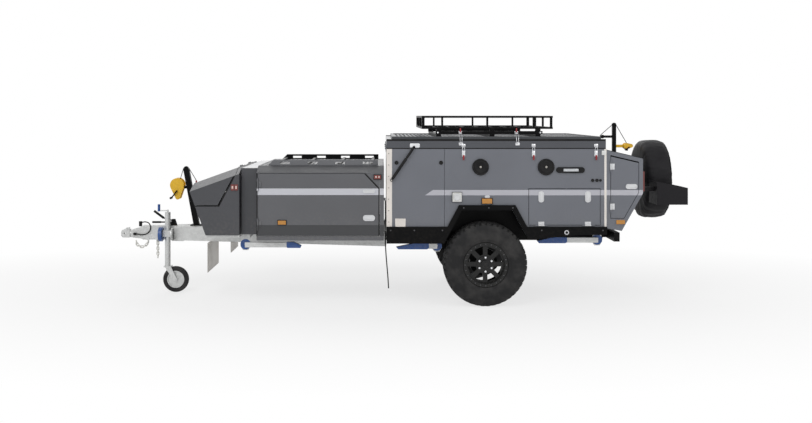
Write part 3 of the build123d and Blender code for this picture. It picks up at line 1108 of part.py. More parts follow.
for side, sign in SIDES:
    with BuildPart() as strut_tube:
        pin_y(STRUT_BODY_PIN[0], STRUT_BODY_PIN[1], STRUT_EYE, span(sign, STRUT_Y - 7, STRUT_Y + 7))
        bar(strut_point(sign, STRUT_EYE - 3), strut_point(sign, STRUT_TUBE_END), STRUT_TUBE)
        bar(strut_point(sign, STRUT_BORE_START), strut_point(sign, STRUT_TUBE_END), STRUT_ROD + FIT,
            Mode.SUBTRACT)
        pin_y(STRUT_BODY_PIN[0], STRUT_BODY_PIN[1], STRUT_PIN + FIT, span(sign, STRUT_Y - 9, STRUT_Y + 9),
              Mode.SUBTRACT)
    save(strut_tube, f"strut_tube_{side}")

    with BuildPart() as strut_rod:
        bar(strut_point(sign, STRUT_ROD_START), strut_point(sign, STRUT_LENGTH), STRUT_ROD)
        pin_y(STRUT_LID_PIN[0], STRUT_LID_PIN[1], STRUT_ROD_EYE,
              span(sign, STRUT_Y - STRUT_EYE_HALF + PIN_SEAT, STRUT_Y + 6))
    save(strut_rod, f"strut_rod_{side}")

# Rear locker: floor, heel, rear wall, roof and side frames, with its cover sheet and doors

LOCKER_HEEL_SLOPE = (LOCKER_KNEE_Z - LOCKER_TOE[1]) / (LOCKER_REAR - LOCKER_TOE[0])
LOCKER_FLOOR_SLOPE = (LOCKER_TOE[1] - LOCKER_HEEL_Z) / (LOCKER_TOE[0] - BODY_REAR - SEAM)


def locker_heel_x(z, inside):
    """The locker's slanted heel at a height, moved in by a distance."""
    return LOCKER_TOE[0] + (z - LOCKER_TOE[1]) / LOCKER_HEEL_SLOPE - inside * hypot(1, 1 / LOCKER_HEEL_SLOPE)


LOCKER_SKIN = inset(LOCKER_OUTLINE, PANEL)
LOCKER_SKIN[0] = (BODY_REAR + SEAM, locker_top(BODY_REAR + SEAM, -PANEL * hypot(1, LOCKER_SLOPE)))
LOCKER_SKIN[4] = (BODY_REAR + SEAM, LOCKER_HEEL_Z + PANEL * hypot(1, LOCKER_FLOOR_SLOPE))
LOCKER_DOOR_X = (BODY_REAR + LOCKER_MARGIN, LOCKER_REAR - LOCKER_MARGIN)
LOCKER_DOOR_TOE = locker_heel_x(LOCKER_TOE[1], LOCKER_MARGIN)
LOCKER_DOOR_KNEE = LOCKER_TOE[1] + (LOCKER_DOOR_X[1] - LOCKER_DOOR_TOE) * LOCKER_HEEL_SLOPE
LOCKER_OPENING = [(LOCKER_DOOR_X[0], locker_top(LOCKER_DOOR_X[0], -LOCKER_MARGIN)),
                  (LOCKER_DOOR_X[1], locker_top(LOCKER_DOOR_X[1], -LOCKER_MARGIN)),
                  (LOCKER_DOOR_X[1], LOCKER_DOOR_KNEE),
                  (locker_heel_x(LOCKER_DOOR_BOTTOM, LOCKER_MARGIN), LOCKER_DOOR_BOTTOM),
                  (LOCKER_DOOR_X[0], LOCKER_DOOR_BOTTOM)]
LOCKER_LEAF = [(x, z - LOCKER_TOP_GAP) for x, z in LOCKER_OPENING[:2]] + LOCKER_OPENING[2:]
LOCKER_AXIS = (LOCKER_DOOR_X[0] + DOOR_GAP / 2, BODY_HALF + HINGE_RADIUS + 1)
LOCKER_HINGES = (1000, 1400)
LEAF_LENGTH = 38

with BuildPart() as rear_locker:
    frame_strips(LOCKER_OUTLINE, LOCKER_SKIN, (SEAM + PANEL - BODY_HALF, BODY_HALF - PANEL - SEAM), (4,))
    for side, sign in SIDES:
        frame_strips(LOCKER_OUTLINE, LOCKER_OPENING, span(sign, BODY_HALF - PANEL, BODY_HALF))
        for z in LOCKER_HINGES:
            for end in (-1, 1):
                centre = z + end * (KNUCKLE * 0.75 + PIN_SEAT)
                knuckle_z(LOCKER_AXIS[0], sign * LOCKER_AXIS[1], centre, KNUCKLE / 2)
                slab((LOCKER_AXIS[0] - 11, LOCKER_AXIS[0] - 3), span(sign, BODY_HALF - 2, LOCKER_AXIS[1]),
                     (centre - KNUCKLE / 4, centre + KNUCKLE / 4))
save(rear_locker, "rear_locker")

for side, sign in SIDES:
    with BuildPart() as locker_door:
        side_plate(LOCKER_LEAF, span(sign, BODY_HALF - PANEL, BODY_HALF), DOOR_GAP)
        for z in LOCKER_HINGES:
            knuckle_z(LOCKER_AXIS[0], sign * LOCKER_AXIS[1], z, KNUCKLE)
            slab((LOCKER_AXIS[0], LOCKER_AXIS[0] + LEAF_LENGTH), span(sign, BODY_HALF - 2, BODY_HALF + LEAF),
                 (z - KNUCKLE / 2, z + KNUCKLE / 2))
    save(locker_door, f"locker_door_{side}")

with BuildPart() as locker_cover:
    front, rear = BODY_REAR + SEAM, LOCKER_REAR
    side_plate([(front, locker_top(front, SEAM)), (rear, locker_top(rear, SEAM)),
                (rear, locker_top(rear, SEAM + COVER_THICK)), (front, locker_top(front, SEAM + COVER_THICK))],
               (-BODY_HALF, BODY_HALF))
save(locker_cover, "locker_cover")

# Spare wheel in its hard cover, its carrier, and the two jerry-can holders

CARRIER_PLATE = 12
CARRIER_PLATE_HALF = 150
CARRIER_PLATE_Z = (LOCKER_KNEE_Z + 4, LOCKER_KNEE_Z + 309)
CARRIER_HALF = 50
CARRIER_DISC = 120
with BuildPart() as spare_carrier:
    back = LOCKER_REAR + SEAM
    slab((back, back + CARRIER_PLATE), (-CARRIER_PLATE_HALF, CARRIER_PLATE_HALF), CARRIER_PLATE_Z)
    slab((back + CARRIER_PLATE - 2, SPARE_FRONT - 18), (-CARRIER_HALF, CARRIER_HALF),
         (SPARE_Z - CARRIER_HALF, SPARE_Z + CARRIER_HALF))
    bar((SPARE_FRONT - 20, 0, SPARE_Z), (SPARE_FRONT - SEAM, 0, SPARE_Z), CARRIER_DISC)
save(spare_carrier, "spare_carrier")

SPARE_EDGE = 40
with BuildPart() as spare_wheel:
    with BuildSketch(Plane.XZ) as profile:
        Polygon((SPARE_FRONT, SPARE_Z), (SPARE_REAR, SPARE_Z),
                (SPARE_REAR, SPARE_Z + SPARE_RADIUS - SPARE_EDGE),
                (SPARE_REAR - SPARE_EDGE / 3, SPARE_Z + SPARE_RADIUS - SPARE_EDGE / 3),
                (SPARE_REAR - SPARE_EDGE, SPARE_Z + SPARE_RADIUS),
                (SPARE_FRONT + SPARE_EDGE, SPARE_Z + SPARE_RADIUS),
                (SPARE_FRONT + SPARE_EDGE / 3, SPARE_Z + SPARE_RADIUS - SPARE_EDGE / 3),
                (SPARE_FRONT, SPARE_Z + SPARE_RADIUS - SPARE_EDGE), align=None)
    revolve(profile.sketch, axis=Axis((0, 0, SPARE_Z), (1, 0, 0)))
    bar((SPARE_FRONT + SPARE_SHELL, 0, SPARE_Z), (SPARE_REAR - SPARE_SHELL, 0, SPARE_Z),
        SPARE_RADIUS - SPARE_EDGE, Mode.SUBTRACT)
save(spare_wheel, "spare_wheel")

HOLDER_ARM_Y = (560, 650)
HOLDER_ARM_Z = (1136, 1176)

with BuildPart() as jerry_holders:
    holder_slope = (HOLDER_TOP[1] - HOLDER_TOP[0]) / (HOLDER_REAR - HOLDER_FRONT)
    wall = HOLDER_WALL
    for side, sign in SIDES:
        outline = [(HOLDER_FRONT, HOLDER_BOTTOM), (HOLDER_REAR, HOLDER_BOTTOM), (HOLDER_REAR, HOLDER_TOP[1]),
                   (HOLDER_FRONT, HOLDER_TOP[0])]
        side_plate(outline, span(sign, HOLDER_INNER_Y, HOLDER_INNER_Y + wall))
        side_plate(outline, span(sign, HOLDER_OUTER_Y - wall, HOLDER_OUTER_Y))
        inside = span(sign, HOLDER_INNER_Y + wall + SEAM, HOLDER_OUTER_Y - wall - SEAM)
        slab((HOLDER_FRONT, HOLDER_FRONT + wall), inside, (HOLDER_BOTTOM, HOLDER_TOP[0] + holder_slope * wall))
        slab((HOLDER_REAR - wall, HOLDER_REAR), inside, (HOLDER_BOTTOM, HOLDER_TOP[1]))
        slab((HOLDER_FRONT + wall + SEAM, HOLDER_REAR - wall - SEAM), inside,
             (HOLDER_BOTTOM, HOLDER_BOTTOM + wall))
        slab((LOCKER_REAR + SEAM, HOLDER_FRONT - SEAM), span(sign, *HOLDER_ARM_Y), HOLDER_ARM_Z)
save(jerry_holders, "jerry_holders")

# Chassis: rails, cross members, outriggers, arm hangers, spring seats and the rear bumper

MEMBER_X = (BODY_FRONT, 440, 1400, 2060)
MEMBER_WIDTH = 50
OUTRIGGER_Z = (CHASSIS_TOP - 58, CHASSIS_TOP)
SPRING_Y = CHASSIS_Y[1] + 46
SPRING_SEAT_X = (SPRING_X - 70, SPRING_X + 150)
SPRING_SEAT_Z = (690, 702)
BUMPER_X = (2128, 2275)
BUMPER_ARM = 60
BUMPER_Z = (CHASSIS_BOTTOM + 30, 752)
BUMPER_BEAM_TOP = 740
HANGER_X = (ARM_PIVOT[0] - 42, ARM_PIVOT[0] + 42)

with BuildPart() as chassis_frame:
    for side, sign in SIDES:
        rail = span(sign, *CHASSIS_Y)
        slab((BODY_FRONT, BUMPER_X[0] - SEAM), rail, (CHASSIS_BOTTOM, CHASSIS_TOP))
        leg_end = LEG_PLATE_Y[0] - SEAM
        for x, outer in zip(MEMBER_X, (BODY_HALF - BODY_WALL, leg_end, 0, leg_end)):
            if outer:
                slab((x, x + MEMBER_WIDTH), span(sign, CHASSIS_Y[1] + SEAM, outer), OUTRIGGER_Z)
        slab(HANGER_X, span(sign, CHASSIS_Y[1] + SEAM, ARM_Y[0] - SEAM),
             (ARM_PIVOT[1] - 42, OUTRIGGER_Z[0] - SEAM))
        slab(SPRING_SEAT_X, span(sign, CHASSIS_Y[1] + SEAM, SPRING_Y + 34), SPRING_SEAT_Z)
        slab((BUMPER_X[0], BUMPER_X[0] + BUMPER_ARM), rail, BUMPER_Z)
    for x in MEMBER_X:
        slab((x, x + MEMBER_WIDTH), (SEAM - CHASSIS_Y[0], CHASSIS_Y[0] - SEAM), (CHASSIS_BOTTOM, CHASSIS_TOP))
    slab((BUMPER_X[0] + BUMPER_ARM + SEAM, BUMPER_X[1] - 30), (SEAM - BODY_HALF, BODY_HALF - SEAM),
         (BUMPER_Z[0], BUMPER_BEAM_TOP))
save(chassis_frame, "chassis_frame")

# Trailing arms with stub axles, brake drums and spring perches

DRUM_RADIUS = 140
DRUM_Y = (ARM_Y[1] + 20, ARM_Y[1] + 80)
STUB_END = TYRE_OUTER_Y - 107
PERCH = (46, 545, 560)   # radius, low and high
ARM_OUTLINE = [(ARM_PIVOT[0] - 30, ARM_PIVOT[1] + 36), (ARM_PIVOT[0] + 30, ARM_PIVOT[1] + 44),
               (AXLE_X + 40, AXLE_Z + 42), (AXLE_X + 40, AXLE_Z - 36), (AXLE_X - 30, AXLE_Z - 36),
               (ARM_PIVOT[0] - 30, ARM_PIVOT[1] - 32)]
with BuildPart() as trailing_arms:
    for side, sign in SIDES:
        side_plate(ARM_OUTLINE, span(sign, *ARM_Y))
        pin_y(AXLE_X, AXLE_Z, DRUM_RADIUS, span(sign, *DRUM_Y))
        pin_y(AXLE_X, AXLE_Z, STUB_RADIUS, span(sign, ARM_Y[1] - 10, STUB_END))
        bar((SPRING_X, sign * SPRING_Y, PERCH[1] - 20), (SPRING_X, sign * SPRING_Y, PERCH[2]), PERCH[0])
save(trailing_arms, "trailing_arms")

DAMPER_X = 836
DAMPER_RADIUS = 24
with BuildPart() as springs_dampers:
    height = SPRING_SEAT_Z[0] - SEAM - PERCH[2] - SEAM
    pitch = (height - 2 * SPRING_WIRE) / SPRING_TURNS
    for side, sign in SIDES:
        foot = PERCH[2] + SEAM + SPRING_WIRE
        with BuildLine(Plane((SPRING_X, sign * SPRING_Y, foot))) as coil:
            Helix(pitch, pitch * SPRING_TURNS, SPRING_RADIUS)
        with BuildSketch(Plane(origin=coil.line @ 0, z_dir=coil.line % 0)) as wire:
            Circle(SPRING_WIRE)
        sweep(wire.sketch, path=coil.line, is_frenet=True)
        arm_top = ARM_OUTLINE[1][1] + (ARM_OUTLINE[2][1] - ARM_OUTLINE[1][1]) * (
            (DAMPER_X - DAMPER_RADIUS - ARM_OUTLINE[1][0]) / (ARM_OUTLINE[2][0] - ARM_OUTLINE[1][0]))
        bar((DAMPER_X, sign * SPRING_Y, arm_top + SEAM), (DAMPER_X, sign * SPRING_Y, SPRING_SEAT_Z[0] - SEAM),
            DAMPER_RADIUS)
save(springs_dampers, "springs_dampers")

# Stabiliser legs, folded up: bracket plates on the frame and one leg with its foot on each

# columns: share of the foot's length and height from the leg's middle, round the foot's outline
FOOT_SHAPE = ((0.0, 28), (0.45, 30), (1.0, -8), (0.94, -30), (0.06, -30), (0.0, -20))
# columns: half length at the foot, at the middle and at the top of a bracket, and its drops below the pin
BRACKET_HALF = (26, 52, 42)
BRACKET_DROP = (60, 20)
with BuildPart() as leg_brackets:
    for side, sign in SIDES:
        for name, x, z, direction, reach, foot in LEGS:
            top = DRAWBAR_TOP - 2 if name == "front" else CHASSIS_TOP - 2
            foot_half, middle_half, top_half = BRACKET_HALF
            side_plate([(x - foot_half, z - BRACKET_DROP[0]), (x + foot_half, z - BRACKET_DROP[0]),
                        (x + middle_half, z - BRACKET_DROP[1]), (x + top_half, top), (x - top_half, top),
                        (x - middle_half, z - BRACKET_DROP[1])], span(sign, *LEG_PLATE_Y))
            pin_y(x, z, LEG_PIN, span(sign, LEG_PLATE_Y[0] + 2, LEG_PLATE_Y[1] + LEG_DISC_THICK - 1))
save(leg_brackets, "leg_brackets")

for side, sign in SIDES:
    for name, x, z, direction, reach, foot in LEGS:
        with BuildPart() as leg:
            inner = LEG_PLATE_Y[1] + PIN_SEAT
            disc = LEG_PLATE_Y[1] + LEG_DISC_THICK
            pin_y(x, z, LEG_DISC_RADIUS, span(sign, inner, disc))
            ends = sorted((x, x + direction * (reach - foot)))
            slab(ends, span(sign, disc - 1, disc + LEG_TUBE), (z - LEG_TUBE / 2, z + LEG_TUBE / 2))
            pin_y(x, z, LEG_PIN + FIT, span(sign, inner - 1, disc), Mode.SUBTRACT)
            start, length = reach - foot + SEAM, foot - SEAM
            side_plate([(x + direction * (start + share * length), z + rise) for share, rise in FOOT_SHAPE],
                       span(sign, disc - 3, disc + LEG_TUBE + 5))
        save(leg, f"leg_{name}_{side}")

# Road wheels: tyre and rim on each side

LIP_RADIUS = 222
LIP_WIDTH = 10
BEAD_HALF = 115
RIM_DISC = (52, 68)
WINDOW_RADII = (98, 180)
WINDOW_ANGLES = (radians(9), radians(15))   # half angle of a window at its inner and outer radius
HUB_Y = (DRUM_Y[1] + 4, TYRE_OUTER_Y - 61)


def turned(outline, sign):
    """Outline of radius and distance from the tyre's middle plane, revolved about the axle."""
    seat = Plane(origin=(AXLE_X, sign * TYRE_MID_Y, AXLE_Z), x_dir=(1, 0, 0), z_dir=(0, 0, 1))
    with BuildSketch(seat) as profile:
        Polygon(*[(radius, sign * across) for radius, across in outline], align=None)
    revolve(profile.sketch, axis=Axis((AXLE_X, 0, AXLE_Z), (0, 1, 0)))


for side, sign in SIDES:
    with BuildPart() as tyre:
        wide = TYRE_WIDTH / 2
        half = [(BEAD_RADIUS, BEAD_HALF), (LIP_RADIUS + 4, BEAD_HALF), (LIP_RADIUS + 8, wide - 14),
                (TYRE_RADIUS - 130, wide), (TYRE_RADIUS - 80, wide - 1), (TYRE_RADIUS - 32, wide - 10),
                (TYRE_RADIUS - 12, wide - 22), (TYRE_RADIUS - 2, wide - 42), (TYRE_RADIUS, wide - 82)]
        turned(half + [(radius, -across) for radius, across in reversed(half)], sign)
    save(tyre, f"tyre_{side}")

    with BuildPart() as rim:
        well = BEAD_RADIUS - SEAM
        lip = BEAD_HALF + SEAM
        turned([(well - RIM_WALL, -lip - LIP_WIDTH), (LIP_RADIUS, -lip - LIP_WIDTH), (LIP_RADIUS, -lip),
                (well, -lip), (well, lip), (LIP_RADIUS, lip), (LIP_RADIUS, lip + LIP_WIDTH),
                (well - RIM_WALL, lip + LIP_WIDTH)], sign)
        turned([(STUB_RADIUS, RIM_DISC[0]), (well - 4, RIM_DISC[0]), (well - 4, RIM_DISC[1]),
                (STUB_RADIUS, RIM_DISC[1])], sign)
        for k in range(SPOKE_COUNT):
            turn = 2 * pi * (k + 0.5) / SPOKE_COUNT
            corners = [(WINDOW_RADII[0], -WINDOW_ANGLES[0]), (WINDOW_RADII[1], -WINDOW_ANGLES[1]),
                       (WINDOW_RADII[1], WINDOW_ANGLES[1]), (WINDOW_RADII[0], WINDOW_ANGLES[0])]
            side_plate([(AXLE_X + radius * cos(turn + angle), AXLE_Z + radius * sin(turn + angle))
                        for radius, angle in corners],
                       span(sign, TYRE_MID_Y, TYRE_MID_Y + RIM_DISC[1] + 5), mode=Mode.SUBTRACT)
        pin_y(AXLE_X, AXLE_Z, HUB_RADIUS, span(sign, *HUB_Y))
        pin_y(AXLE_X, AXLE_Z, STUB_RADIUS + FIT, span(sign, HUB_Y[0] - 1, STUB_END + 2), Mode.SUBTRACT)
    save(rim, f"rim_{side}")

# Lamps that are fixed to the shells

# columns: x limits and z limits of a side lamp
SIDE_LAMPS = (((868, 968), (1031, 1081)), ((2210, 2295), (826, 866)),
              ((-1642, -1609), (1163, 1222)), ((-1606, -1573), (1163, 1222)), ((-212, -142), (1276, 1316)))
TAIL_LAMP = ((BODY_HALF - 130, BODY_HALF - 30), (1150, 1350))
with BuildPart() as lamps:
    for side, sign in SIDES:
        for x_limits, z_limits in SIDE_LAMPS:
            slab(x_limits, span(sign, BODY_HALF + SEAM, BODY_HALF + LAMP_THICK), z_limits)
        slab((LOCKER_REAR + SEAM, LOCKER_REAR + 2 * LAMP_THICK), span(sign, *TAIL_LAMP[0]), TAIL_LAMP[1])
save(lamps, "lamps")

# Outside fittings of the body: speakers, awning lamp, sockets, power inlet and knobs

# columns: x, z, radius, thickness
ROUND_FITTINGS = ((853, 1396, 83, 9), (1508, 1396, 83, 9), (1974, 1263, 16, 8), (2017, 1263, 16, 8),
                  (2052, 1263, 13, 8), (13, 1439, 20, 8), (458, 1439, 20, 8))
# columns: centre x, centre z, length, height, thickness
AWNING_LAMP = (1751, 1366, 285, 58, 14)
INLET = ((568, 668), (1046, 1146), 12)
with BuildPart() as side_fittings:
    for side, sign in SIDES:
        for x, z, radius, thick in ROUND_FITTINGS:
            pin_y(x, z, radius, span(sign, BODY_HALF + SEAM, BODY_HALF + thick))
        slab(INLET[0], span(sign, BODY_HALF + SEAM, BODY_HALF + INLET[2]), INLET[1])
        x, z, length, height, thick = AWNING_LAMP
        y_limits = span(sign, BODY_HALF + SEAM, BODY_HALF + thick)
        with BuildSketch(Plane.XZ.offset(-y_limits[1])) as profile:
            with Locations((x, z)):
                SlotOverall(length, height)
        extrude(profile.sketch, amount=y_limits[1] - y_limits[0])
save(side_fittings, "side_fittings")

# Drain hose: hangs free from the tail block behind the front box

HOSE_RADIUS = 6
HOSE_Y = 20 - BOX_HALF
HOSE_POINTS = ((-100, HOSE_Y, 1059), (-98, HOSE_Y - 1, 915), (-101, HOSE_Y, 770), (-99, HOSE_Y - 2, 640),
               (-92, HOSE_Y - 6, 520), (-82, HOSE_Y - 8, 400), (-72, HOSE_Y - 6, 290), (-66, HOSE_Y, 180))
with BuildPart() as drain_hose:
    cord_tube(HOSE_POINTS, HOSE_RADIUS)
save(drain_hose, "drain_hose")
print("hose radii", [round(radius, 1) for radius in cord_radii(HOSE_POINTS)])
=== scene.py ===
import bpy
from math import atan2, cos, hypot, pi, radians, sin
from mathutils import Matrix, Vector, noise


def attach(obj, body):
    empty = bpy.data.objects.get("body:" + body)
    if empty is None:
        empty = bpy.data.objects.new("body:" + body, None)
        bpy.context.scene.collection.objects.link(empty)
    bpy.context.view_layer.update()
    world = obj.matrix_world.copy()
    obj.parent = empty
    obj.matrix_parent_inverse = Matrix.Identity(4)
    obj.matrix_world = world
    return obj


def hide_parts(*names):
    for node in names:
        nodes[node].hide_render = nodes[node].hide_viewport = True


# Off-road camper trailer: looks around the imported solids, in metres.
# X runs to the rear, -Y is the trailer's left side, which the camera sees, and Z is up.

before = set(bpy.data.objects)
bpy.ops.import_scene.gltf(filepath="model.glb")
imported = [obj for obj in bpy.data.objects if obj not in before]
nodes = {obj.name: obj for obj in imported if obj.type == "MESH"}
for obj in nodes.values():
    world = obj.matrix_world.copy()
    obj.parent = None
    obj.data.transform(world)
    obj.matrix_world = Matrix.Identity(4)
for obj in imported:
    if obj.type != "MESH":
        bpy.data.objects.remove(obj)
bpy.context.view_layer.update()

SIDES = (("left", -1), ("right", 1))
SKIN = 0.9          # outer face of the body, boxes and doors, from the centre plane
PROUD = 0.9005      # a face further out than this stands proud of the sides
SEAT = 0.0003       # gap between a fitting and what carries it
SAME = 1e-6         # places nearer to each other than this are one


# Camera

PHOTO_WIDTH = 812
PHOTO_HEIGHT = 423
FOCAL_PIXELS = 960
EYE = Vector((-0.132, -10.5, 1.916))
CENTRE_PIXEL = (382, 115)
SENSOR_WIDTH = 36

camera_data = bpy.data.cameras.new("camera")
camera_data.sensor_width = SENSOR_WIDTH
camera_data.lens = FOCAL_PIXELS / PHOTO_WIDTH * SENSOR_WIDTH
camera_data.shift_x = (PHOTO_WIDTH / 2 - CENTRE_PIXEL[0]) / PHOTO_WIDTH
camera_data.shift_y = (CENTRE_PIXEL[1] - PHOTO_HEIGHT / 2) / PHOTO_WIDTH
camera = bpy.data.objects.new("camera", camera_data)
bpy.context.collection.objects.link(camera)
camera.location = EYE
camera.rotation_euler = (radians(90), 0, 0)
bpy.context.scene.camera = camera


# Shader groups that several finishes share

NOISE_SPAN = (0.3, 0.7)               # where most values of a noise pattern lie
DUST_SPAN = (1.0, 0.55)               # heights where road dust begins and where it is thickest
ROAD_DUST = (0.33, 0.29, 0.24, 1)
RUBBER_BLOOM = (0.22, 0.21, 0.2, 1)
FADED_CLOTH = (0.12, 0.12, 0.125, 1)
STRIPE_MARGIN = 0.001                 # how far inside the skin a stripe still shows
STRIPE_FACING = 0.7                   # least share of a normal across the trailer, for a striped face


class Wiring:
    """A node tree and short ways to add to it."""

    def __init__(self, tree):
        self.tree = tree

    def add(self, kind, **settings):
        node = self.tree.nodes.new(kind)
        for name, value in settings.items():
            setattr(node, name, value)
        return node

    def feed(self, node, **inputs):
        for name, value in inputs.items():
            target = node.inputs[int(name[1:])] if name.startswith("_") else node.inputs[name]
            if isinstance(value, bpy.types.NodeSocket):
                self.tree.links.new(value, target)
            else:
                target.default_value = value
        return node

    def math(self, operation, first, second=0.0, clamp=False):
        node = self.add("ShaderNodeMath", operation=operation, use_clamp=clamp)
        self.feed(node, _0=first, _1=second)
        return node.outputs[0]

    def blend(self, share, first, second, way="MIX"):
        node = self.add("ShaderNodeMix", data_type="RGBA", blend_type=way)
        self.feed(node, _0=share, _6=first, _7=second)
        return node.outputs[2]

    def tint(self, colour, tone):
        grey = self.add("ShaderNodeCombineColor")
        self.feed(grey, Red=tone, Green=tone, Blue=tone)
        return self.blend(1.0, colour, grey.outputs[0], "MULTIPLY")

    def spread(self, value, low, high, out_low=0.0, out_high=1.0):
        node = self.add("ShaderNodeMapRange")
        self.feed(node, _0=value, _1=low, _2=high, _3=out_low, _4=out_high)
        return node.outputs[0]

    def place(self, scale=(1, 1, 1)):
        coordinates = self.add("ShaderNodeTexCoord")
        mapping = self.add("ShaderNodeMapping")
        self.feed(mapping, Vector=coordinates.outputs["Object"], Scale=scale)
        return mapping.outputs[0]

    def parts(self, vector):
        node = self.add("ShaderNodeSeparateXYZ")
        return self.feed(node, Vector=vector).outputs

    def cloud(self, scale, detail=4.0, place=None):
        node = self.add("ShaderNodeTexNoise")
        self.feed(node, Vector=place or self.place(), Scale=scale, Detail=detail)
        return node.outputs["Fac"]

    def seen(self):
        """1 for rays from the camera, off gloss and through glass, and 0 for rays that only light."""
        path = self.add("ShaderNodeLightPath").outputs
        direct = self.math("MAXIMUM", path["Is Camera Ray"], path["Is Transmission Ray"])
        return self.math("MAXIMUM", direct, path["Is Glossy Ray"])


def shader_group(name, inputs, outputs=("Color", "Roughness", "Height")):
    """An empty node group. A socket named Color holds a colour, and the others hold a value."""
    group = bpy.data.node_groups.new(name, "ShaderNodeTree")
    for way, labels in (("INPUT", inputs), ("OUTPUT", outputs)):
        for label in labels:
            kind = "NodeSocketColor" if label == "Color" else "NodeSocketFloat"
            group.interface.new_socket(label, in_out=way, socket_type=kind)
    wiring = Wiring(group)
    return wiring, wiring.add("NodeGroupInput").outputs, wiring.add("NodeGroupOutput")


def build_paint_group():
    """Sprayed paint: slow tone changes, orange peel, road dust that thickens towards the ground."""
    wiring, given, result = shader_group("sprayed_paint", ("Color", "Dust", "Roughness"))
    toned = wiring.tint(given["Color"], wiring.spread(wiring.cloud(1.3, 3), *NOISE_SPAN, 0.93, 1.07))
    low = wiring.spread(wiring.parts(wiring.place())["Z"], *DUST_SPAN)
    speck = wiring.spread(wiring.cloud(38, 6), 0.45, 0.72)
    dust = wiring.math("MULTIPLY", wiring.math("MULTIPLY", low, speck), given["Dust"], True)
    wiring.feed(result, Color=wiring.blend(dust, toned, ROAD_DUST),
                Roughness=wiring.math("ADD", given["Roughness"], wiring.spread(speck, 0, 1, -0.04, 0.08)),
                Height=wiring.cloud(260, 2))
    return wiring.tree


def build_zinc_group():
    """Zinc coat: faceted spangle with dull patches and run marks."""
    wiring, given, result = shader_group("zinc_spangle", ("Color", "Scale", "Roughness"))
    cells = wiring.add("ShaderNodeTexVoronoi")
    wiring.feed(cells, Vector=wiring.place(), Scale=given["Scale"])
    grain = wiring.add("ShaderNodeSeparateColor")
    wiring.feed(grain, Color=cells.outputs["Color"])
    shade = wiring.math("ADD", wiring.spread(grain.outputs[0], 0, 1, 0.91, 1.03),
                        wiring.spread(wiring.cloud(7, 5), *NOISE_SPAN, -0.07, 0.05))
    rough = wiring.spread(grain.outputs[1], 0, 1, -0.08, 0.12)
    wiring.feed(result, Color=wiring.tint(given["Color"], shade),
                Roughness=wiring.math("ADD", given["Roughness"], rough), Height=wiring.cloud(90, 5))
    return wiring.tree


def build_brushed_group():
    """Rolled or brushed alloy: fine lines along X with smudges."""
    wiring, given, result = shader_group("brushed_alloy", ("Color", "Roughness"))
    lines = wiring.cloud(40, 3, wiring.place((1.5, 30, 30)))
    smudge = wiring.cloud(5, 5)
    shade = wiring.math("ADD", wiring.spread(lines, *NOISE_SPAN, 0.92, 1.05),
                        wiring.spread(smudge, *NOISE_SPAN, -0.05, 0.05))
    rough = wiring.spread(smudge, *NOISE_SPAN, -0.06, 0.1)
    wiring.feed(result, Color=wiring.tint(given["Color"], shade),
                Roughness=wiring.math("ADD", given["Roughness"], rough), Height=lines)
    return wiring.tree


def build_mould_group():
    """Rubber or moulded plastic: matt, with a pale bloom and a fine pebble."""
    wiring, given, result = shader_group("matt_mould", ("Color", "Bloom", "Pebble", "Roughness"))
    bloom = wiring.math("MULTIPLY", wiring.spread(wiring.cloud(9, 6), 0.42, 0.75), given["Bloom"], True)
    wiring.feed(result, Color=wiring.blend(bloom, given["Color"], RUBBER_BLOOM),
                Roughness=wiring.math("ADD", given["Roughness"], wiring.spread(bloom, 0, 1, -0.02, 0.12)),
                Height=wiring.cloud(given["Pebble"], 3.0))
    return wiring.tree


def build_weave_group():
    """Coated cloth: two crossed threads with slow fading."""
    wiring, given, result = shader_group("coated_weave", ("Color", "Threads", "Roughness"))
    threads = []
    for axis in ("Y", "Z"):
        wave = wiring.add("ShaderNodeTexWave", bands_direction=axis)
        wiring.feed(wave, Vector=wiring.place(), Scale=given["Threads"], Distortion=1.2, Detail=1.0)
        threads.append(wave.outputs["Fac"])
    fade = wiring.spread(wiring.cloud(4, 5), 0.35, 0.75)
    mark = wiring.math("MULTIPLY", fade, 0.12)
    wiring.feed(result, Color=wiring.blend(mark, given["Color"], FADED_CLOTH),
                Roughness=wiring.math("ADD", given["Roughness"], wiring.spread(fade, 0, 1, -0.06, 0.1)),
                Height=wiring.math("MULTIPLY", *threads))
    return wiring.tree


def build_stripe_group():
    """Mask of a level stripe on the outer sides, with a slanted start."""
    wiring, given, result = shader_group("side_stripe", ("Low", "High", "Start", "Slant", "End"), ("Mask",))
    place = wiring.parts(wiring.place())
    normal = wiring.parts(wiring.add("ShaderNodeNewGeometry").outputs["Normal"])
    lift = wiring.math("SUBTRACT", place["Z"], given["Low"])
    begin = wiring.math("ADD", given["Start"], wiring.math("MULTIPLY", lift, given["Slant"]))
    mask = wiring.math("GREATER_THAN", place["Z"], given["Low"])
    for test, value, limit in (
            ("LESS_THAN", place["Z"], given["High"]),
            ("GREATER_THAN", place["X"], begin),
            ("LESS_THAN", place["X"], given["End"]),
            ("GREATER_THAN", wiring.math("ABSOLUTE", place["Y"]), SKIN - STRIPE_MARGIN),
            ("GREATER_THAN", wiring.math("ABSOLUTE", normal["Y"]), STRIPE_FACING)):
        mask = wiring.math("MULTIPLY", mask, wiring.math(test, value, limit))
    wiring.feed(result, Mask=mask)
    return wiring.tree


PAINT = build_paint_group()
ZINC = build_zinc_group()
BRUSHED = build_brushed_group()
MOULD = build_mould_group()
WEAVE = build_weave_group()
STRIPE = build_stripe_group()


# Finishes

BUMP_DEPTH = 0.002
COAT_ROUGHNESS = 0.12


def linear(red, green, blue):
    """Colour as written on screen, from 0 to 255, to scene values."""
    values = []
    for part in (red, green, blue):
        part /= 255
        values.append(part / 12.92 if part <= 0.04045 else ((part + 0.055) / 1.055) ** 2.4)
    return (*values, 1.0)


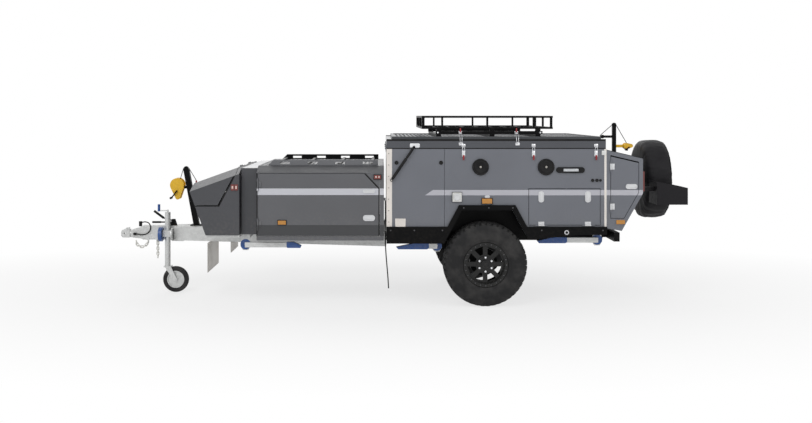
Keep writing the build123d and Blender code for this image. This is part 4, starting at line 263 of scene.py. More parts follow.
def finish_of(name, group, bump, metallic=0.0, coat=0.0, gloss=0.5, stripes=(), **values):
    """A material whose colour, roughness and relief come from one group, with stripes laid over it."""
    material = bpy.data.materials.new(name)
    material.use_nodes = True
    wiring = Wiring(material.node_tree)
    shader = material.node_tree.nodes["Principled BSDF"]
    surface = wiring.add("ShaderNodeGroup", node_tree=group)
    wiring.feed(surface, **values)
    colour = surface.outputs["Color"]
    for stripe_colour, edges in stripes:
        stripe = wiring.add("ShaderNodeGroup", node_tree=STRIPE)
        wiring.feed(stripe, **edges)
        colour = wiring.blend(stripe.outputs["Mask"], colour, stripe_colour)
    relief = wiring.add("ShaderNodeBump")
    wiring.feed(relief, Strength=bump, Distance=BUMP_DEPTH, Height=surface.outputs["Height"])
    wiring.feed(shader, **{
        "Base Color": colour, "Roughness": surface.outputs["Roughness"], "Normal": relief.outputs["Normal"],
        "Metallic": metallic, "Coat Weight": coat, "Coat Roughness": COAT_ROUGHNESS,
        "Specular IOR Level": gloss})
    return material


def paint(name, colour, dust, roughness, bump, **shine):
    """Sprayed paint in a screen colour."""
    return finish_of(name, PAINT, bump, Color=linear(*colour), Dust=dust, Roughness=roughness, **shine)


def alloy(name, colour, roughness, metallic, bump, **shine):
    """Brushed or rolled metal in a screen colour."""
    return finish_of(name, BRUSHED, bump, metallic, Color=linear(*colour), Roughness=roughness, **shine)


def mould(name, colour, bloom, pebble, roughness, bump, **shine):
    """Rubber or plastic in a screen colour."""
    return finish_of(name, MOULD, bump, Color=linear(*colour), Bloom=bloom, Pebble=pebble,
                     Roughness=roughness, **shine)


def lens_of(name, colour):
    """Coloured lamp lens with a moulded pebble."""
    return mould(name, colour, 0.03, 150.0, 0.2, 0.25, coat=0.5)


BODY_STRIPE = (linear(188, 188, 196),
               {"Low": 1.113, "High": 1.166, "Start": 0.298, "Slant": 1.51, "End": 2.479})
BOX_STRIPE = (linear(204, 205, 212), {"Low": 1.116, "High": 1.181, "Start": -1.39, "Slant": 0.0, "End": -0.1})
BOX_BAND = (linear(50, 51, 54), {"Low": 0.706, "High": 0.816, "Start": -1.39, "Slant": 0.0, "End": -0.1})

# columns: name, colour, dust, roughness, bump
body_paint = paint("body_paint", (107, 110, 118), 0.25, 0.36, 0.03, coat=0.35, stripes=(BODY_STRIPE,))
box_paint = paint("box_paint", (90, 91, 95), 0.2, 0.36, 0.03, coat=0.3, stripes=(BOX_STRIPE, BOX_BAND))
nose_paint = paint("nose_paint", (74, 75, 79), 0.2, 0.38, 0.03, coat=0.15, gloss=0.35)
mid_paint = paint("mid_paint", (74, 75, 79), 0.2, 0.42, 0.03, coat=0.15, gloss=0.35)
lid_paint = paint("lid_paint", (76, 78, 84), 0.1, 0.38, 0.03, coat=0.2, gloss=0.4)
black_paint = paint("black_paint", (11, 11, 12), 0.03, 0.42, 0.06, gloss=0.09)
blue_paint = paint("blue_paint", (20, 78, 150), 0.2, 0.4, 0.04, coat=0.3)
yellow_paint = paint("yellow_paint", (240, 190, 30), 0.1, 0.42, 0.04, coat=0.3)
red_paint = paint("red_paint", (150, 44, 48), 0.1, 0.42, 0.04, coat=0.2, gloss=0.3)
rack_paint = paint("rack_paint", (106, 107, 111), 0.1, 0.4, 0.04, coat=0.2)
rim_black = paint("rim_black", (12, 12, 13), 0.04, 0.24, 0.02, coat=0.3, gloss=0.2)
holder_paint = paint("holder_paint", (28, 27, 30), 0.04, 0.5, 0.08, gloss=0.18)
zinc = finish_of("zinc", ZINC, 0.05, metallic=0.45, Color=linear(214, 215, 214), Scale=60.0, Roughness=0.44)
bright_zinc = finish_of("bright_zinc", ZINC, 0.03, metallic=0.75, Color=linear(214, 213, 208), Scale=140.0,
                        Roughness=0.32)
# columns: name, colour, roughness, metallic, bump
strip_alloy = alloy("strip_alloy", (232, 226, 220), 0.4, 0.35, 0.02)
plate_alloy = alloy("plate_alloy", (70, 71, 74), 0.42, 0.3, 0.04)
# painted highlight: the checker plate's alloy made lighter for its raised bars, where they catch the light
painted_highlight_bar_alloy = alloy("painted_highlight_bar_alloy", (94, 95, 98), 0.38, 0.3, 0.04)
deck_alloy = alloy("deck_alloy", (74, 76, 79), 0.45, 0.3, 0.04)
# painted highlight: a light alloy for the mid box's top, standing in for the glare on that top
painted_highlight_alloy = alloy("painted_highlight_alloy", (186, 187, 189), 0.42, 0.3, 0.03)
steel_sheet = alloy("steel_sheet", (172, 168, 162), 0.42, 0.6, 0.04)
dull_steel = alloy("dull_steel", (84, 84, 86), 0.44, 0.6, 0.04, gloss=0.3)
chrome = alloy("chrome", (226, 227, 230), 0.2, 0.85, 0.01)
# columns: name, colour, bloom, pebble, roughness, bump
tyre_rubber = mould("tyre_rubber", (34, 34, 35), 0.16, 320.0, 0.74, 0.15, gloss=0.25)
black_mould = mould("black_mould", (20, 20, 21), 0.06, 380.0, 0.58, 0.12, gloss=0.2)
latch_mould = mould("latch_mould", (226, 227, 229), 0.05, 240.0, 0.42, 0.05, coat=0.15)
white_mould = mould("white_mould", (232, 232, 230), 0.05, 240.0, 0.42, 0.05, coat=0.2)
hose_mould = mould("hose_mould", (22, 22, 23), 0.1, 300.0, 0.55, 0.08, gloss=0.25)
cover_cloth = finish_of("cover_cloth", WEAVE, 0.12, gloss=0.15, Color=linear(22, 21, 24), Threads=420.0,
                        Roughness=0.55)
amber_lens = lens_of("amber_lens", (196, 132, 40))
red_lens = lens_of("red_lens", (118, 40, 34))
clear_lens = lens_of("clear_lens", (205, 208, 212))
pale_lens = lens_of("pale_lens", (226, 196, 186))


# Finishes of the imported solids

JOCKEY_HUB = (-2.362, 0.14)
JOCKEY_TREAD = 0.0915


def dress(material, *names):
    """One finish all over these solids."""
    for name in names:
        slots = nodes[name].data.materials
        slots.clear()
        slots.append(material)


def dress_faces(name, base, *parts):
    """A base finish, and others on the faces whose middle passes a test."""
    mesh = nodes[name].data
    dress(base, name)
    for material, _ in parts:
        mesh.materials.append(material)
    for face in mesh.polygons:
        face.material_index = 0
        for place, (_, test) in enumerate(parts, 1):
            if test(face.center):
                face.material_index = place


dress(lid_paint, "body_lid")
dress(box_paint, "front_box")
dress(nose_paint, "nose_box", "nose_lid")
dress(plate_alloy, "front_box_top")
dress(deck_alloy, "lid_deck")
dress(strip_alloy, "corner_strips")
dress(black_paint, "sills", "roof_basket", "spare_carrier", "strut_tube_left", "strut_tube_right",
      "winch_masts", "chassis_frame", "trailing_arms", "springs_dampers", "strut_rod_left", "strut_rod_right")
dress(holder_paint, "jerry_holders", "locker_cover")
dress(rim_black, "rim_left", "rim_right")
dress(zinc, "drawbar", "coupling", "jockey_clamp", "jockey_fork", "leg_brackets")
dress(bright_zinc, "safety_chains")
dress(steel_sheet, "stone_deflectors")
dress(black_mould, "side_fittings", "brake_cable", "handbrake")
dress(body_paint, "body_side_left", "body_side_right", "rear_locker")
# the numbers in these tests are where one finish meets the next on the solid
# the tub's inner walls in the wheel well get black paint as painted shade
dress_faces("body_tub", body_paint,
            (black_paint, lambda c: 0.4 < c.x < 1.41 and c.z < 1.04 and abs(c.y) > 0.6))
# the mid box's top faces get a lighter alloy than its sides, as painted highlight
dress_faces("mid_box", mid_paint, (painted_highlight_alloy, lambda c: c.z > 1.3795))
# the rack is grey: its outer sides carry that grey, and its other faces get black paint as painted shade
dress_faces("front_rack", black_paint, (rack_paint, lambda c: abs(c.y) > 0.7195))
dress_faces("jockey_tube", zinc, (blue_paint, lambda c: c.x < -2.532 and c.z > 0.87))
dress_faces("winches", yellow_paint, (black_paint, lambda c: c.y < -0.062 or (-2.29 < c.x < 0)))
dress_faces("winch_cables", black_mould, (red_paint, lambda c: -2.19 < c.x < -2.15 and c.z < 1.205))
dress_faces("lamps", red_lens, (amber_lens, lambda c: 0.8 < c.x < 2.4 and c.z < 1.1))
dress_faces("jockey_wheel", zinc,
            (tyre_rubber, lambda c: hypot(c.x - JOCKEY_HUB[0], c.z - JOCKEY_HUB[1]) > JOCKEY_TREAD))
LEG_FEET = (("front", lambda c: c.x > -1.095), ("mid", lambda c: c.x < 0.342),
            ("rear", lambda c: c.x < 1.736))
for side, _ in SIDES:
    dress_faces(f"locker_door_{side}", body_paint, (latch_mould, lambda c: abs(c.y) > PROUD and c.x < 2.2))
    dress_faces(f"hatch_{side}", body_paint, (latch_mould, lambda c: abs(c.y) > PROUD and c.z < 0.85))
    dress_faces(f"front_door_{side}", box_paint,
                (amber_lens, lambda c: abs(c.y) > PROUD and -1.18 < c.x < -1.08 and 0.8 < c.z < 0.88))
    for leg, foot in LEG_FEET:
        dress_faces(f"leg_{leg}_{side}", zinc, (blue_paint, foot), (blue_paint, lambda c: abs(c.y) < 0.7585))


# Modelling helpers

FACING = 0.95                # least share of a normal along an axis, for a face that looks that way
SMOOTH_ANGLE = radians(30)
MERGE_GAP = 0.00005


def object_mode():
    """Leave edit mode."""
    bpy.ops.object.mode_set(mode="OBJECT")


def fresh():
    """Nothing selected, in object mode."""
    if bpy.context.object and bpy.context.object.mode != "OBJECT":
        object_mode()
    bpy.ops.object.select_all(action="DESELECT")


def pick(test):
    """Edit mode with the faces selected whose normal passes a test."""
    object_mode()
    mesh = bpy.context.object.data
    for part in (mesh.vertices, mesh.edges):
        for item in part:
            item.select = False
    for face in mesh.polygons:
        face.select = test(face.normal)
    bpy.ops.object.mode_set(mode="EDIT")
    bpy.ops.mesh.select_mode(type="FACE")


def pick_edges(test):
    """Edit mode with the edges selected whose two ends pass a test."""
    object_mode()
    mesh = bpy.context.object.data
    for part in (mesh.vertices, mesh.polygons):
        for item in part:
            item.select = False
    for edge in mesh.edges:
        edge.select = test(*(mesh.vertices[k].co for k in edge.vertices))
    bpy.ops.object.mode_set(mode="EDIT")
    bpy.ops.mesh.select_mode(type="EDGE")


def facing(axis, sign=1):
    """Test for the faces that look along an axis, or against it."""
    return lambda normal: getattr(normal, axis) * sign > FACING


def settle():
    """Object mode, with the place of the active piece in its mesh."""
    object_mode()
    bpy.ops.object.transform_apply(location=True, rotation=True, scale=True)
    return bpy.context.object


def modified(kind, **settings):
    """Add a modifier to the active piece and apply it."""
    bpy.ops.object.modifier_add(type=kind)
    modifier = bpy.context.object.modifiers[-1]
    for name, value in settings.items():
        setattr(modifier, name, value)
    bpy.ops.object.modifier_apply(modifier=modifier.name)


def soften(width, segments=2):
    """Rounded edges on the active piece, and smooth shading up to an angle."""
    modified("BEVEL", width=width, segments=segments, limit_method="ANGLE")
    bpy.ops.object.shade_smooth_by_angle(angle=SMOOTH_ANGLE)


def about(middle, half):
    """Two limits about a middle."""
    return middle - half, middle + half


def start_block(low, high):
    """A block between two corners, as the start of a piece."""
    fresh()
    middle = [(a + b) / 2 for a, b in zip(low, high)]
    bpy.ops.mesh.primitive_cube_add(size=1, location=middle)
    bpy.context.object.scale = [abs(b - a) for a, b in zip(low, high)]
    return settle()


def side_block(x, z, sign, near, far, base=SKIN):
    """A block on a side, as the start of a piece, between two distances out of the skin or another base."""
    low, high = sorted((sign * (base + near), sign * (base + far)))
    return start_block((x[0], low, z[0]), (x[1], high, z[1]))


def start_round(centre, radius, thick, axis="Y", sides=48):
    """A round disc about a point, as the start of a piece."""
    fresh()
    turn = {"X": (0, radians(90), 0), "Y": (radians(90), 0, 0)}[axis]
    bpy.ops.mesh.primitive_cylinder_add(vertices=sides, radius=radius, depth=thick, location=centre,
                                        rotation=turn)
    return settle()


def press_in(sign, steps):
    """Inset and push the outer face of the active piece in or out, step by step."""
    for inset, depth in steps:
        pick(facing("y", sign))
        object_mode()
        faces = [face for face in bpy.context.object.data.polygons if face.select]
        inner = max(faces, key=lambda face: face.area)
        for face in faces:
            face.select = face == inner
        bpy.ops.object.mode_set(mode="EDIT")
        bpy.ops.mesh.inset(thickness=inset, depth=0)
        bpy.ops.mesh.extrude_region_move(TRANSFORM_OT_translate={"value": (0, sign * depth, 0)})
    object_mode()


def pressed_round(x, out, z, radius, thick, sign, steps, edge, sides=48):
    """A disc on a side, its middle a distance out, with its face pressed in steps and its edges rounded."""
    piece = start_round((x, sign * out, z), radius, thick, sides=sides)
    press_in(sign, steps)
    soften(edge)
    return piece


def raise_face(sign, inset, out, lift=0.0):
    """Inset the outer face of the active block, push it out and lift it."""
    pick(facing("y", sign))
    bpy.ops.mesh.inset(thickness=inset, depth=0)
    bpy.ops.mesh.extrude_region_move(TRANSFORM_OT_translate={"value": (0, sign * out, lift)})
    object_mode()


def taper(test, scale):
    """Resize the faces of the active piece that pass a test."""
    pick(test)
    bpy.ops.transform.resize(value=scale)
    object_mode()


def round_corners(radius, segments):
    """Round the edges of the active piece that run across the trailer."""
    pick_edges(lambda a, b: abs(a.x - b.x) < SAME and abs(a.z - b.z) < SAME)
    bpy.ops.mesh.bevel(offset=radius, segments=segments)
    object_mode()


def rod_between(start, end, radius):
    """A round rod with softened ends between two points."""
    fresh()
    line = end - start
    bpy.ops.mesh.primitive_cylinder_add(vertices=12, radius=radius, depth=line.length,
                                        location=(start + end) / 2,
                                        rotation=line.to_track_quat("Z", "Y").to_euler())
    settle()
    soften(radius * 0.4)
    return bpy.context.object


def copy_of(piece, move):
    """A moved copy with its own mesh."""
    twin = piece.copy()
    twin.data = piece.data.copy()
    bpy.context.collection.objects.link(twin)
    twin.data.transform(Matrix.Translation(move))
    return twin


def joined(pieces):
    """Several pieces made one."""
    fresh()
    for piece in pieces:
        piece.select_set(True)
    bpy.context.view_layer.objects.active = pieces[0]
    if len(pieces) > 1:
        bpy.ops.object.join()
    return bpy.context.object


def fit(piece, name, material, body):
    """Name a finished piece, give it its finish and the body that carries it."""
    piece.name = name
    piece.data.name = name
    piece.data.materials.clear()
    piece.data.materials.append(material)
    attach(piece, body)


def lathe(profile, origin, axis, steps, closed=True):
    """A profile of radius and distance along an axis, closed or open, spun about that axis."""
    fresh()
    bpy.ops.mesh.primitive_circle_add(vertices=len(profile), radius=1)
    piece = bpy.context.object
    across = {"X": Vector((0, 0, 1)), "Y": Vector((1, 0, 0))}[axis]
    along = {"X": Vector((1, 0, 0)), "Y": Vector((0, 1, 0))}[axis]
    for vertex, (radius, distance) in zip(piece.data.vertices, profile):
        vertex.co = Vector(origin) + across * radius + along * distance
    if not closed:
        first, last = (piece.data.vertices[k].co.copy() for k in (0, -1))
        pick_edges(lambda a, b: (a - first).length < SAME and (b - last).length < SAME
                   or (a - last).length < SAME and (b - first).length < SAME)
        bpy.ops.mesh.delete(type="EDGE")
    bpy.ops.object.mode_set(mode="EDIT")
    bpy.ops.mesh.select_all(action="SELECT")
    bpy.ops.mesh.spin(steps=steps, angle=2 * pi, center=origin, axis=along)
    bpy.ops.mesh.select_all(action="SELECT")
    bpy.ops.mesh.remove_doubles(threshold=MERGE_GAP)
    bpy.ops.mesh.normals_make_consistent(inside=False)
    object_mode()
    return piece


# Drain hose: a free cord that hangs behind the front box

HOSE_ROUTE = ((-0.100, -0.880, 1.059), (-0.098, -0.881, 0.915), (-0.101, -0.880, 0.770),
              (-0.099, -0.882, 0.640), (-0.092, -0.886, 0.520), (-0.082, -0.888, 0.400),
              (-0.072, -0.886, 0.290), (-0.066, -0.880, 0.180))
HOSE_DIAMETER = 0.012
hose_curve = bpy.data.curves.new("drain_hose_line", "CURVE")
hose_curve.dimensions = "3D"
hose_line = hose_curve.splines.new("NURBS")
hose_line.points.add(len(HOSE_ROUTE) - 1)
for point, place in zip(hose_line.points, HOSE_ROUTE):
    point.co = (*place, 1)
hose_line.order_u = 3
hose_line.use_endpoint_u = True
hose_curve.bevel_depth = HOSE_DIAMETER / 2
hose_curve.bevel_resolution = 5
hose_curve.use_fill_caps = True
hose = bpy.data.objects.new("drain_hose_tube", hose_curve)
bpy.context.collection.objects.link(hose)
hose_curve.materials.append(hose_mould)
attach(hose, "frame")
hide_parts("drain_hose")


# Road wheels: carcass with tread blocks, nuts, rim bolts and cap

AXLE = (0.903, 0.8025, 0.42)
TREAD_TIP = 0.4190
TREAD_ROOT = 0.407
TREAD_SINK = 0.006      # how deep a block's foot is in the carcass
TREAD_PITCHES = 44
TREAD_SMOOTH = radians(28)
SHOULDER = 0.1          # distance across at which the tread begins to fall
SHOULDER_FALL = 0.42
NUT_CIRCLE = 0.06985
NUT_COUNT = 6
RIM_BOLTS = 24
RIM_BOLT_CIRCLE = 0.2065
RIM_FACE = AXLE[1] + 0.1253     # outer face of the rim's lip, from the centre plane
HUB_FACE = 0.884                # outer face of the hub, from the centre plane
CARCASS = (
    (0.2052, 0.1148), (0.2255, 0.1148), (0.2295, 0.1275), (0.252, 0.1352), (0.256, 0.1385), (0.290, 0.1418),
    (0.318, 0.1422), (0.322, 0.1405), (0.345, 0.1400), (0.372, 0.1345), (0.392, 0.1255), (0.402, 0.108),
    (TREAD_ROOT, 0.085), (TREAD_ROOT, 0.04))
# columns: half length round the tyre, low and high distance across, share of a pitch, skew
TREAD_ROWS = ((0.0195, 0.086, 0.124, 0.0, 0.004), (0.0170, 0.048, 0.080, 0.5, -0.006),
              (0.0185, 0.006, 0.042, 0.15, 0.007))


def tread_block(half, inner, outer, skew):
    """One tread block at the top of the tyre, leaning with its skew."""
    block = start_block((-half, inner, TREAD_ROOT - TREAD_SINK), (half, outer, TREAD_TIP))
    taper(facing("z"), (0.84, 0.9, 1))
    pick(facing("y"))
    bpy.ops.transform.translate(value=(skew, 0, 0))
    object_mode()
    for vertex in block.data.vertices:
        if vertex.co.y > SHOULDER:
            vertex.co.z -= (vertex.co.y - SHOULDER) * SHOULDER_FALL
    return block


def build_tyre(side, sign):
    """Carcass and tread of one wheel as one piece."""
    centre = (AXLE[0], sign * AXLE[1], AXLE[2])
    profile = CARCASS + tuple((radius, -across) for radius, across in reversed(CARCASS))
    pieces = [lathe(profile, centre, "Y", 96)]
    for half, inner, outer, share, skew in TREAD_ROWS:
        for way in (1, -1):
            model = tread_block(half, inner, outer, skew)
            if way < 0:
                model.data.transform(Matrix.Scale(-1, 4, (0, 1, 0)))
                model.data.flip_normals()
            for k in range(TREAD_PITCHES):
                turn = 2 * pi * (k + share + (0.5 if way < 0 else 0)) / TREAD_PITCHES
                block = copy_of(model, (0, 0, 0))
                block.data.transform(Matrix.Translation(centre) @ Matrix.Rotation(turn, 4, "Y"))
                pieces.append(block)
            bpy.data.objects.remove(model)
    tyre = joined(pieces)
    bpy.ops.object.shade_smooth_by_angle(angle=TREAD_SMOOTH)
    fit(tyre, f"tyre_{side}_tread", tyre_rubber, f"wheel_{side}")
    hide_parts(f"tyre_{side}")


def ring_of(model, count, circle, offset=0.0):
    """Copies of a model about the wheel's axle, as one piece."""
    copies = []
    for k in range(count):
        turn = 2 * pi * (k + offset) / count
        copies.append(copy_of(model, (AXLE[0] + circle * cos(turn), 0, AXLE[2] + circle * sin(turn))))
    bpy.data.objects.remove(model)
    return joined(copies)


def build_wheel_trim(side, sign):
    """Nuts, rim bolts and the cap on one wheel."""
    wheel = f"wheel_{side}"
    nut = pressed_round(0, HUB_FACE + 0.011, 0, 0.0108, 0.022, sign, ((0.003, 0.004), (0.004, -0.003)),
                        0.0012, 6)
    fit(ring_of(nut, NUT_COUNT, NUT_CIRCLE, 0.5), f"wheel_nuts_{side}", chrome, wheel)
    bolt = pressed_round(0, RIM_FACE + 0.003, 0, 0.0065, 0.006, sign, ((0.0022, 0.002),), 0.0008, 10)
    fit(ring_of(bolt, RIM_BOLTS, RIM_BOLT_CIRCLE), f"rim_bolts_{side}", dull_steel, wheel)
    cap = pressed_round(AXLE[0], HUB_FACE + 0.013, AXLE[2], 0.044, 0.026, sign,
                        ((0.006, 0.005), (0.008, -0.004), (0.012, 0.003)), 0.0018)
    fit(cap, f"wheel_cap_{side}", rim_black, wheel)


for side, sign in SIDES:
    build_tyre(side, sign)
    build_wheel_trim(side, sign)


# Spare wheel's cloth cover: a fitted bag with a piped seam and slack folds

COVER_CENTRE_Z = 1.219
COVER_PROFILE = (
    (0.126, 2.661), (0.13, 2.660), (0.30, 2.6605), (0.372, 2.664), (0.402, 2.676), (0.420, 2.700),
    (0.427, 2.735), (0.4275, 2.80), (0.427, 2.86), (0.421, 2.897), (0.405, 2.921), (0.378, 2.932),
    (0.34, 2.935), (0.26, 2.934), (0.15, 2.933), (0.0, 2.933))
COVER_FOLD = 0.014             # depth of the folds
COVER_CLOTH = 0.0014           # thickness of the cloth
COVER_FLAT = 0.05              # radius within which the cloth lies flat
COVER_EDGE = 0.40              # radius where the folds are deepest
COVER_EDGE_BAND = 0.16         # how far from there they ease off
COVER_MIDDLE = 2.797           # middle plane of the spare wheel
# columns: share, waves round the wheel, waves along it, start of the pattern
COVER_RIPPLES = ((1.0, 9, 7, 0.4), (0.6, 23, 16, 2.1))
PIPING = 0.0042
PIPING_SIDES = 8
PIPING_SEAM = (0.4065, 2.9185)


def fold_of(place):
    """How far the cloth is pulled in at a place, towards the middle of the wheel."""
    radius = hypot(place.y, place.z - COVER_CENTRE_Z)
    if radius < COVER_FLAT:
        return Vector()
    turn = atan2(place.z - COVER_CENTRE_Z, place.y)
    edge = max(0.0, 1 - abs(radius - COVER_EDGE) / COVER_EDGE_BAND)
    ripple = sum(share * noise.noise(Vector((turn * round_it, place.x * along, start)))
                 for share, round_it, along, start in COVER_RIPPLES)
    sag = 0.5 - 0.5 * sin(turn)
    depth = max(0.0, COVER_FOLD * (0.45 + 0.55 * ripple) * (0.35 + 0.65 * edge) * (0.55 + 0.9 * sag))
    away = Vector(((place.x - COVER_MIDDLE) * 1.5, place.y, place.z - COVER_CENTRE_Z)).normalized()
    return away * -depth


def build_cover():
    """Cloth cover with folds that pull towards its seams, and the piping along its rear seam."""
    cover = lathe(COVER_PROFILE, (0, 0, COVER_CENTRE_Z), "X", 96, closed=False)
    modified("SUBSURF", levels=1, render_levels=1)
    for vertex in cover.data.vertices:
        vertex.co += fold_of(vertex.co)
    modified("SOLIDIFY", thickness=COVER_CLOTH, offset=-1)
    bpy.ops.object.shade_smooth()
    fit(cover, "spare_cover", cover_cloth, "frame")
    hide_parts("spare_wheel")
    radius, distance = PIPING_SEAM
    turns = [2 * pi * k / PIPING_SIDES for k in range(PIPING_SIDES)]
    profile = [(radius + PIPING * cos(turn), distance + PIPING * sin(turn)) for turn in turns]
    piping = lathe(profile, (0, 0, COVER_CENTRE_Z), "X", 192)
    for vertex in piping.data.vertices:
        out = Vector((0, vertex.co.y, vertex.co.z - COVER_CENTRE_Z)).normalized()
        vertex.co += fold_of(Vector((distance, 0, COVER_CENTRE_Z)) + out * radius)
    bpy.ops.object.shade_smooth()
    fit(piping, "cover_piping", black_mould, "frame")


build_cover()


# Raised bars of the checker plate on the front box and on the lid's deck

BAR_PITCH = 0.042
BAR_HALF = (0.013, 0.0031)
BAR_HEIGHT = (-0.0004, 0.0013)
DECK_EDGE = (0.75, 1.403)       # place across and height of the upper edge of the front box's slopes
DECK_FOOT = (0.9, 1.336)        # the same of their lower edge
FRONT_DECK_X = (-1.38, -0.12)


def bar_field(name, x, y, z, material, body, tilt=None):
    """A field of crossed raised bars on a level or tilted plate."""
    fields = []
    columns = int((x[1] - x[0]) / BAR_PITCH / 2)
    rows = int((y[1] - y[0]) / BAR_PITCH / 2)
    for way in range(4):
        bar = start_block((-BAR_HALF[0], -BAR_HALF[1], BAR_HEIGHT[0]), (*BAR_HALF, BAR_HEIGHT[1]))
        taper(facing("z"), (0.8, 0.45, 1))
        turn = Matrix.Rotation(radians(45 if way in (0, 3) else -45), 4, "Z")
        place = (x[0] + BAR_PITCH * (0.5 + way % 2), y[0] + BAR_PITCH * (0.5 + way // 2), z)
        bar.data.transform(Matrix.Translation(place) @ turn)
        for count, offset in ((columns, (2 * BAR_PITCH, 0, 0)), (rows, (0, 2 * BAR_PITCH, 0))):
            modified("ARRAY", count=count, use_relative_offset=False, use_constant_offset=True,
                     constant_offset_displace=offset)
        fields.append(bar)
    field = joined(fields)
    if tilt:
        field.data.transform(tilt)
    fit(field, name, material, body)


# the front box's bars are lighter than the plate under them: painted highlight
bar_field("front_deck_bars", FRONT_DECK_X, (-0.74, 0.74), 1.4029, painted_highlight_bar_alloy, "frame")
slope_drop = DECK_EDGE[1] - DECK_FOOT[1]
slope_width = DECK_FOOT[0] - DECK_EDGE[0]
for side, sign in SIDES:
    lay = (Matrix.Translation((0, sign * DECK_EDGE[0], DECK_EDGE[1]))
           @ Matrix.Rotation(-sign * atan2(slope_drop, slope_width), 4, "X"))
    width = sorted((sign * 0.004, sign * (hypot(slope_drop, slope_width) + 0.006)))
    bar_field(f"front_slope_bars_{side}", FRONT_DECK_X, width, -0.0001, painted_highlight_bar_alloy, "frame", lay)
bar_field("lid_deck_bars", (0.005, 2.03), (-0.82, 0.82), 1.692, deck_alloy, "body_lid")


# Latches, hinges and fastenings on the sides

PILL_STEPS = ((0.004, 0.0), (0.002, -0.004), (0.006, 0.003))
# columns: name, x limits, z limits, body stem
PILLS = (
    ("front_door_latch", (-0.322, -0.202), (0.856, 0.916), "front_door"),
    ("front_door_catch", (-0.322, -0.202), (1.136, 1.171), "front_door"),
    ("hatch_latch_front", (1.432, 1.487), (1.042, 1.154), "hatch"),
    ("hatch_latch_rear", (1.898, 1.956), (1.042, 1.154), "hatch"),
    ("locker_latch", (2.305, 2.420), (1.176, 1.226), "locker_door"),
)
LEAF_OUT = (0.0052, 0.0082)     # inner and outer face of a hinge leaf, out of the skin
LEAF_HALF = 0.028
LEAF_SCREW = ((0.0018, 0.0006), (0.0016, -0.0008))
# columns: name, x limits, z limits, body stem, finish
HINGES = (
    ("hatch_hinge_0", about(1.460, LEAF_HALF), (0.822, 0.847), "hatch", latch_mould),
    ("hatch_hinge_1", about(1.927, LEAF_HALF), (0.822, 0.847), "hatch", latch_mould),
    ("locker_hinge_0", (2.166, 2.192), about(1.0, LEAF_HALF), "locker_door", latch_mould),
    ("locker_hinge_1", (2.166, 2.192), about(1.4, LEAF_HALF), "locker_door", latch_mould),
    ("front_hinge_0", (-1.363, -1.338), about(0.82, LEAF_HALF), "front_door", box_paint),
    ("front_hinge_1", (-1.363, -1.338), about(1.22, LEAF_HALF), "front_door", box_paint),
)
LATCH_Z = 1.5765                # seam between body and lid
LATCH_PLACES = (0.683, 1.383, 2.008)
LATCH_FOOT = LATCH_Z - 0.075
BASKET_RAIL = 0.80              # outer face of the basket's carrying rail, from the centre plane
TIE_PLACES = (0.658, 1.223)
# bends of a tie-down's bail: half width, distance across and height
BAIL_BENDS = ((0.012, 0.824, 1.746), (0.011, 0.908, 1.686), (0.009, 0.912, 1.640))
BAIL_FOOT = 0.011               # half length of the bail's cross bar


def pill(name, x, z, sign, body, thick=0.009):
    """Flush paddle latch: rounded plate with a pressed dish and a lifting paddle."""
    piece = side_block(x, z, sign, SEAT, thick)
    round_corners(min(x[1] - x[0], z[1] - z[0]) * 0.46, 8)
    press_in(sign, PILL_STEPS)
    soften(0.0009)
    fit(piece, name, latch_mould, body)


def hinge_leaf(name, x, z, sign, body, material):
    """Hinge leaf with two dished screws."""
    pieces = [side_block(x, z, sign, *LEAF_OUT)]
    soften(0.0016)
    for share in (0.25, 0.75):
        centre = (x[0] + (x[1] - x[0]) * share, sign * (SKIN + LEAF_OUT[1]), (z[0] + z[1]) / 2)
        pieces.append(start_round(centre, 0.0052, 0.0024, sides=14))
        press_in(sign, LEAF_SCREW)
    fit(joined(pieces), name, material, body)


def over_centre(name, x, sign):
    """Draw latch: keeper on the lid, and on the body a base with a wire bail and a coated lever."""
    keeper = side_block(about(x, 0.019), (LATCH_Z + 0.022, LATCH_Z + 0.050), sign, SEAT, SEAT + 0.006)
    raise_face(sign, 0.006, 0.009, 0.004)
    soften(0.0012)
    fit(keeper, f"{name}_keeper", chrome, "body_lid")
    pieces = [side_block(about(x, 0.016), (LATCH_FOOT, LATCH_Z - 0.016), sign, SEAT, SEAT + 0.005)]
    raise_face(sign, 0.005, 0.008)
    soften(0.0012)
    y = sign * (SKIN + SEAT + 0.011)
    for way in (-1, 1):
        pieces.append(rod_between(Vector((x + way * 0.013, y, LATCH_Z - 0.045)),
                                  Vector((x + way * 0.010, y, LATCH_Z + 0.018)), 0.0022))
    pieces.append(rod_between(Vector((x - 0.012, y, LATCH_Z + 0.0175)),
                              Vector((x + 0.012, y, LATCH_Z + 0.0175)), 0.0022))
    fit(joined(pieces), f"{name}_base", chrome, "frame")
    lever = side_block(about(x, 0.010), (LATCH_FOOT - 0.036, LATCH_Z - 0.062), sign, SEAT + 0.0135,
                       SEAT + 0.020)
    taper(facing("z", -1), (0.7, 0.8, 1))
    soften(0.0026, 3)
    fit(lever, f"{name}_lever", red_paint, "frame")


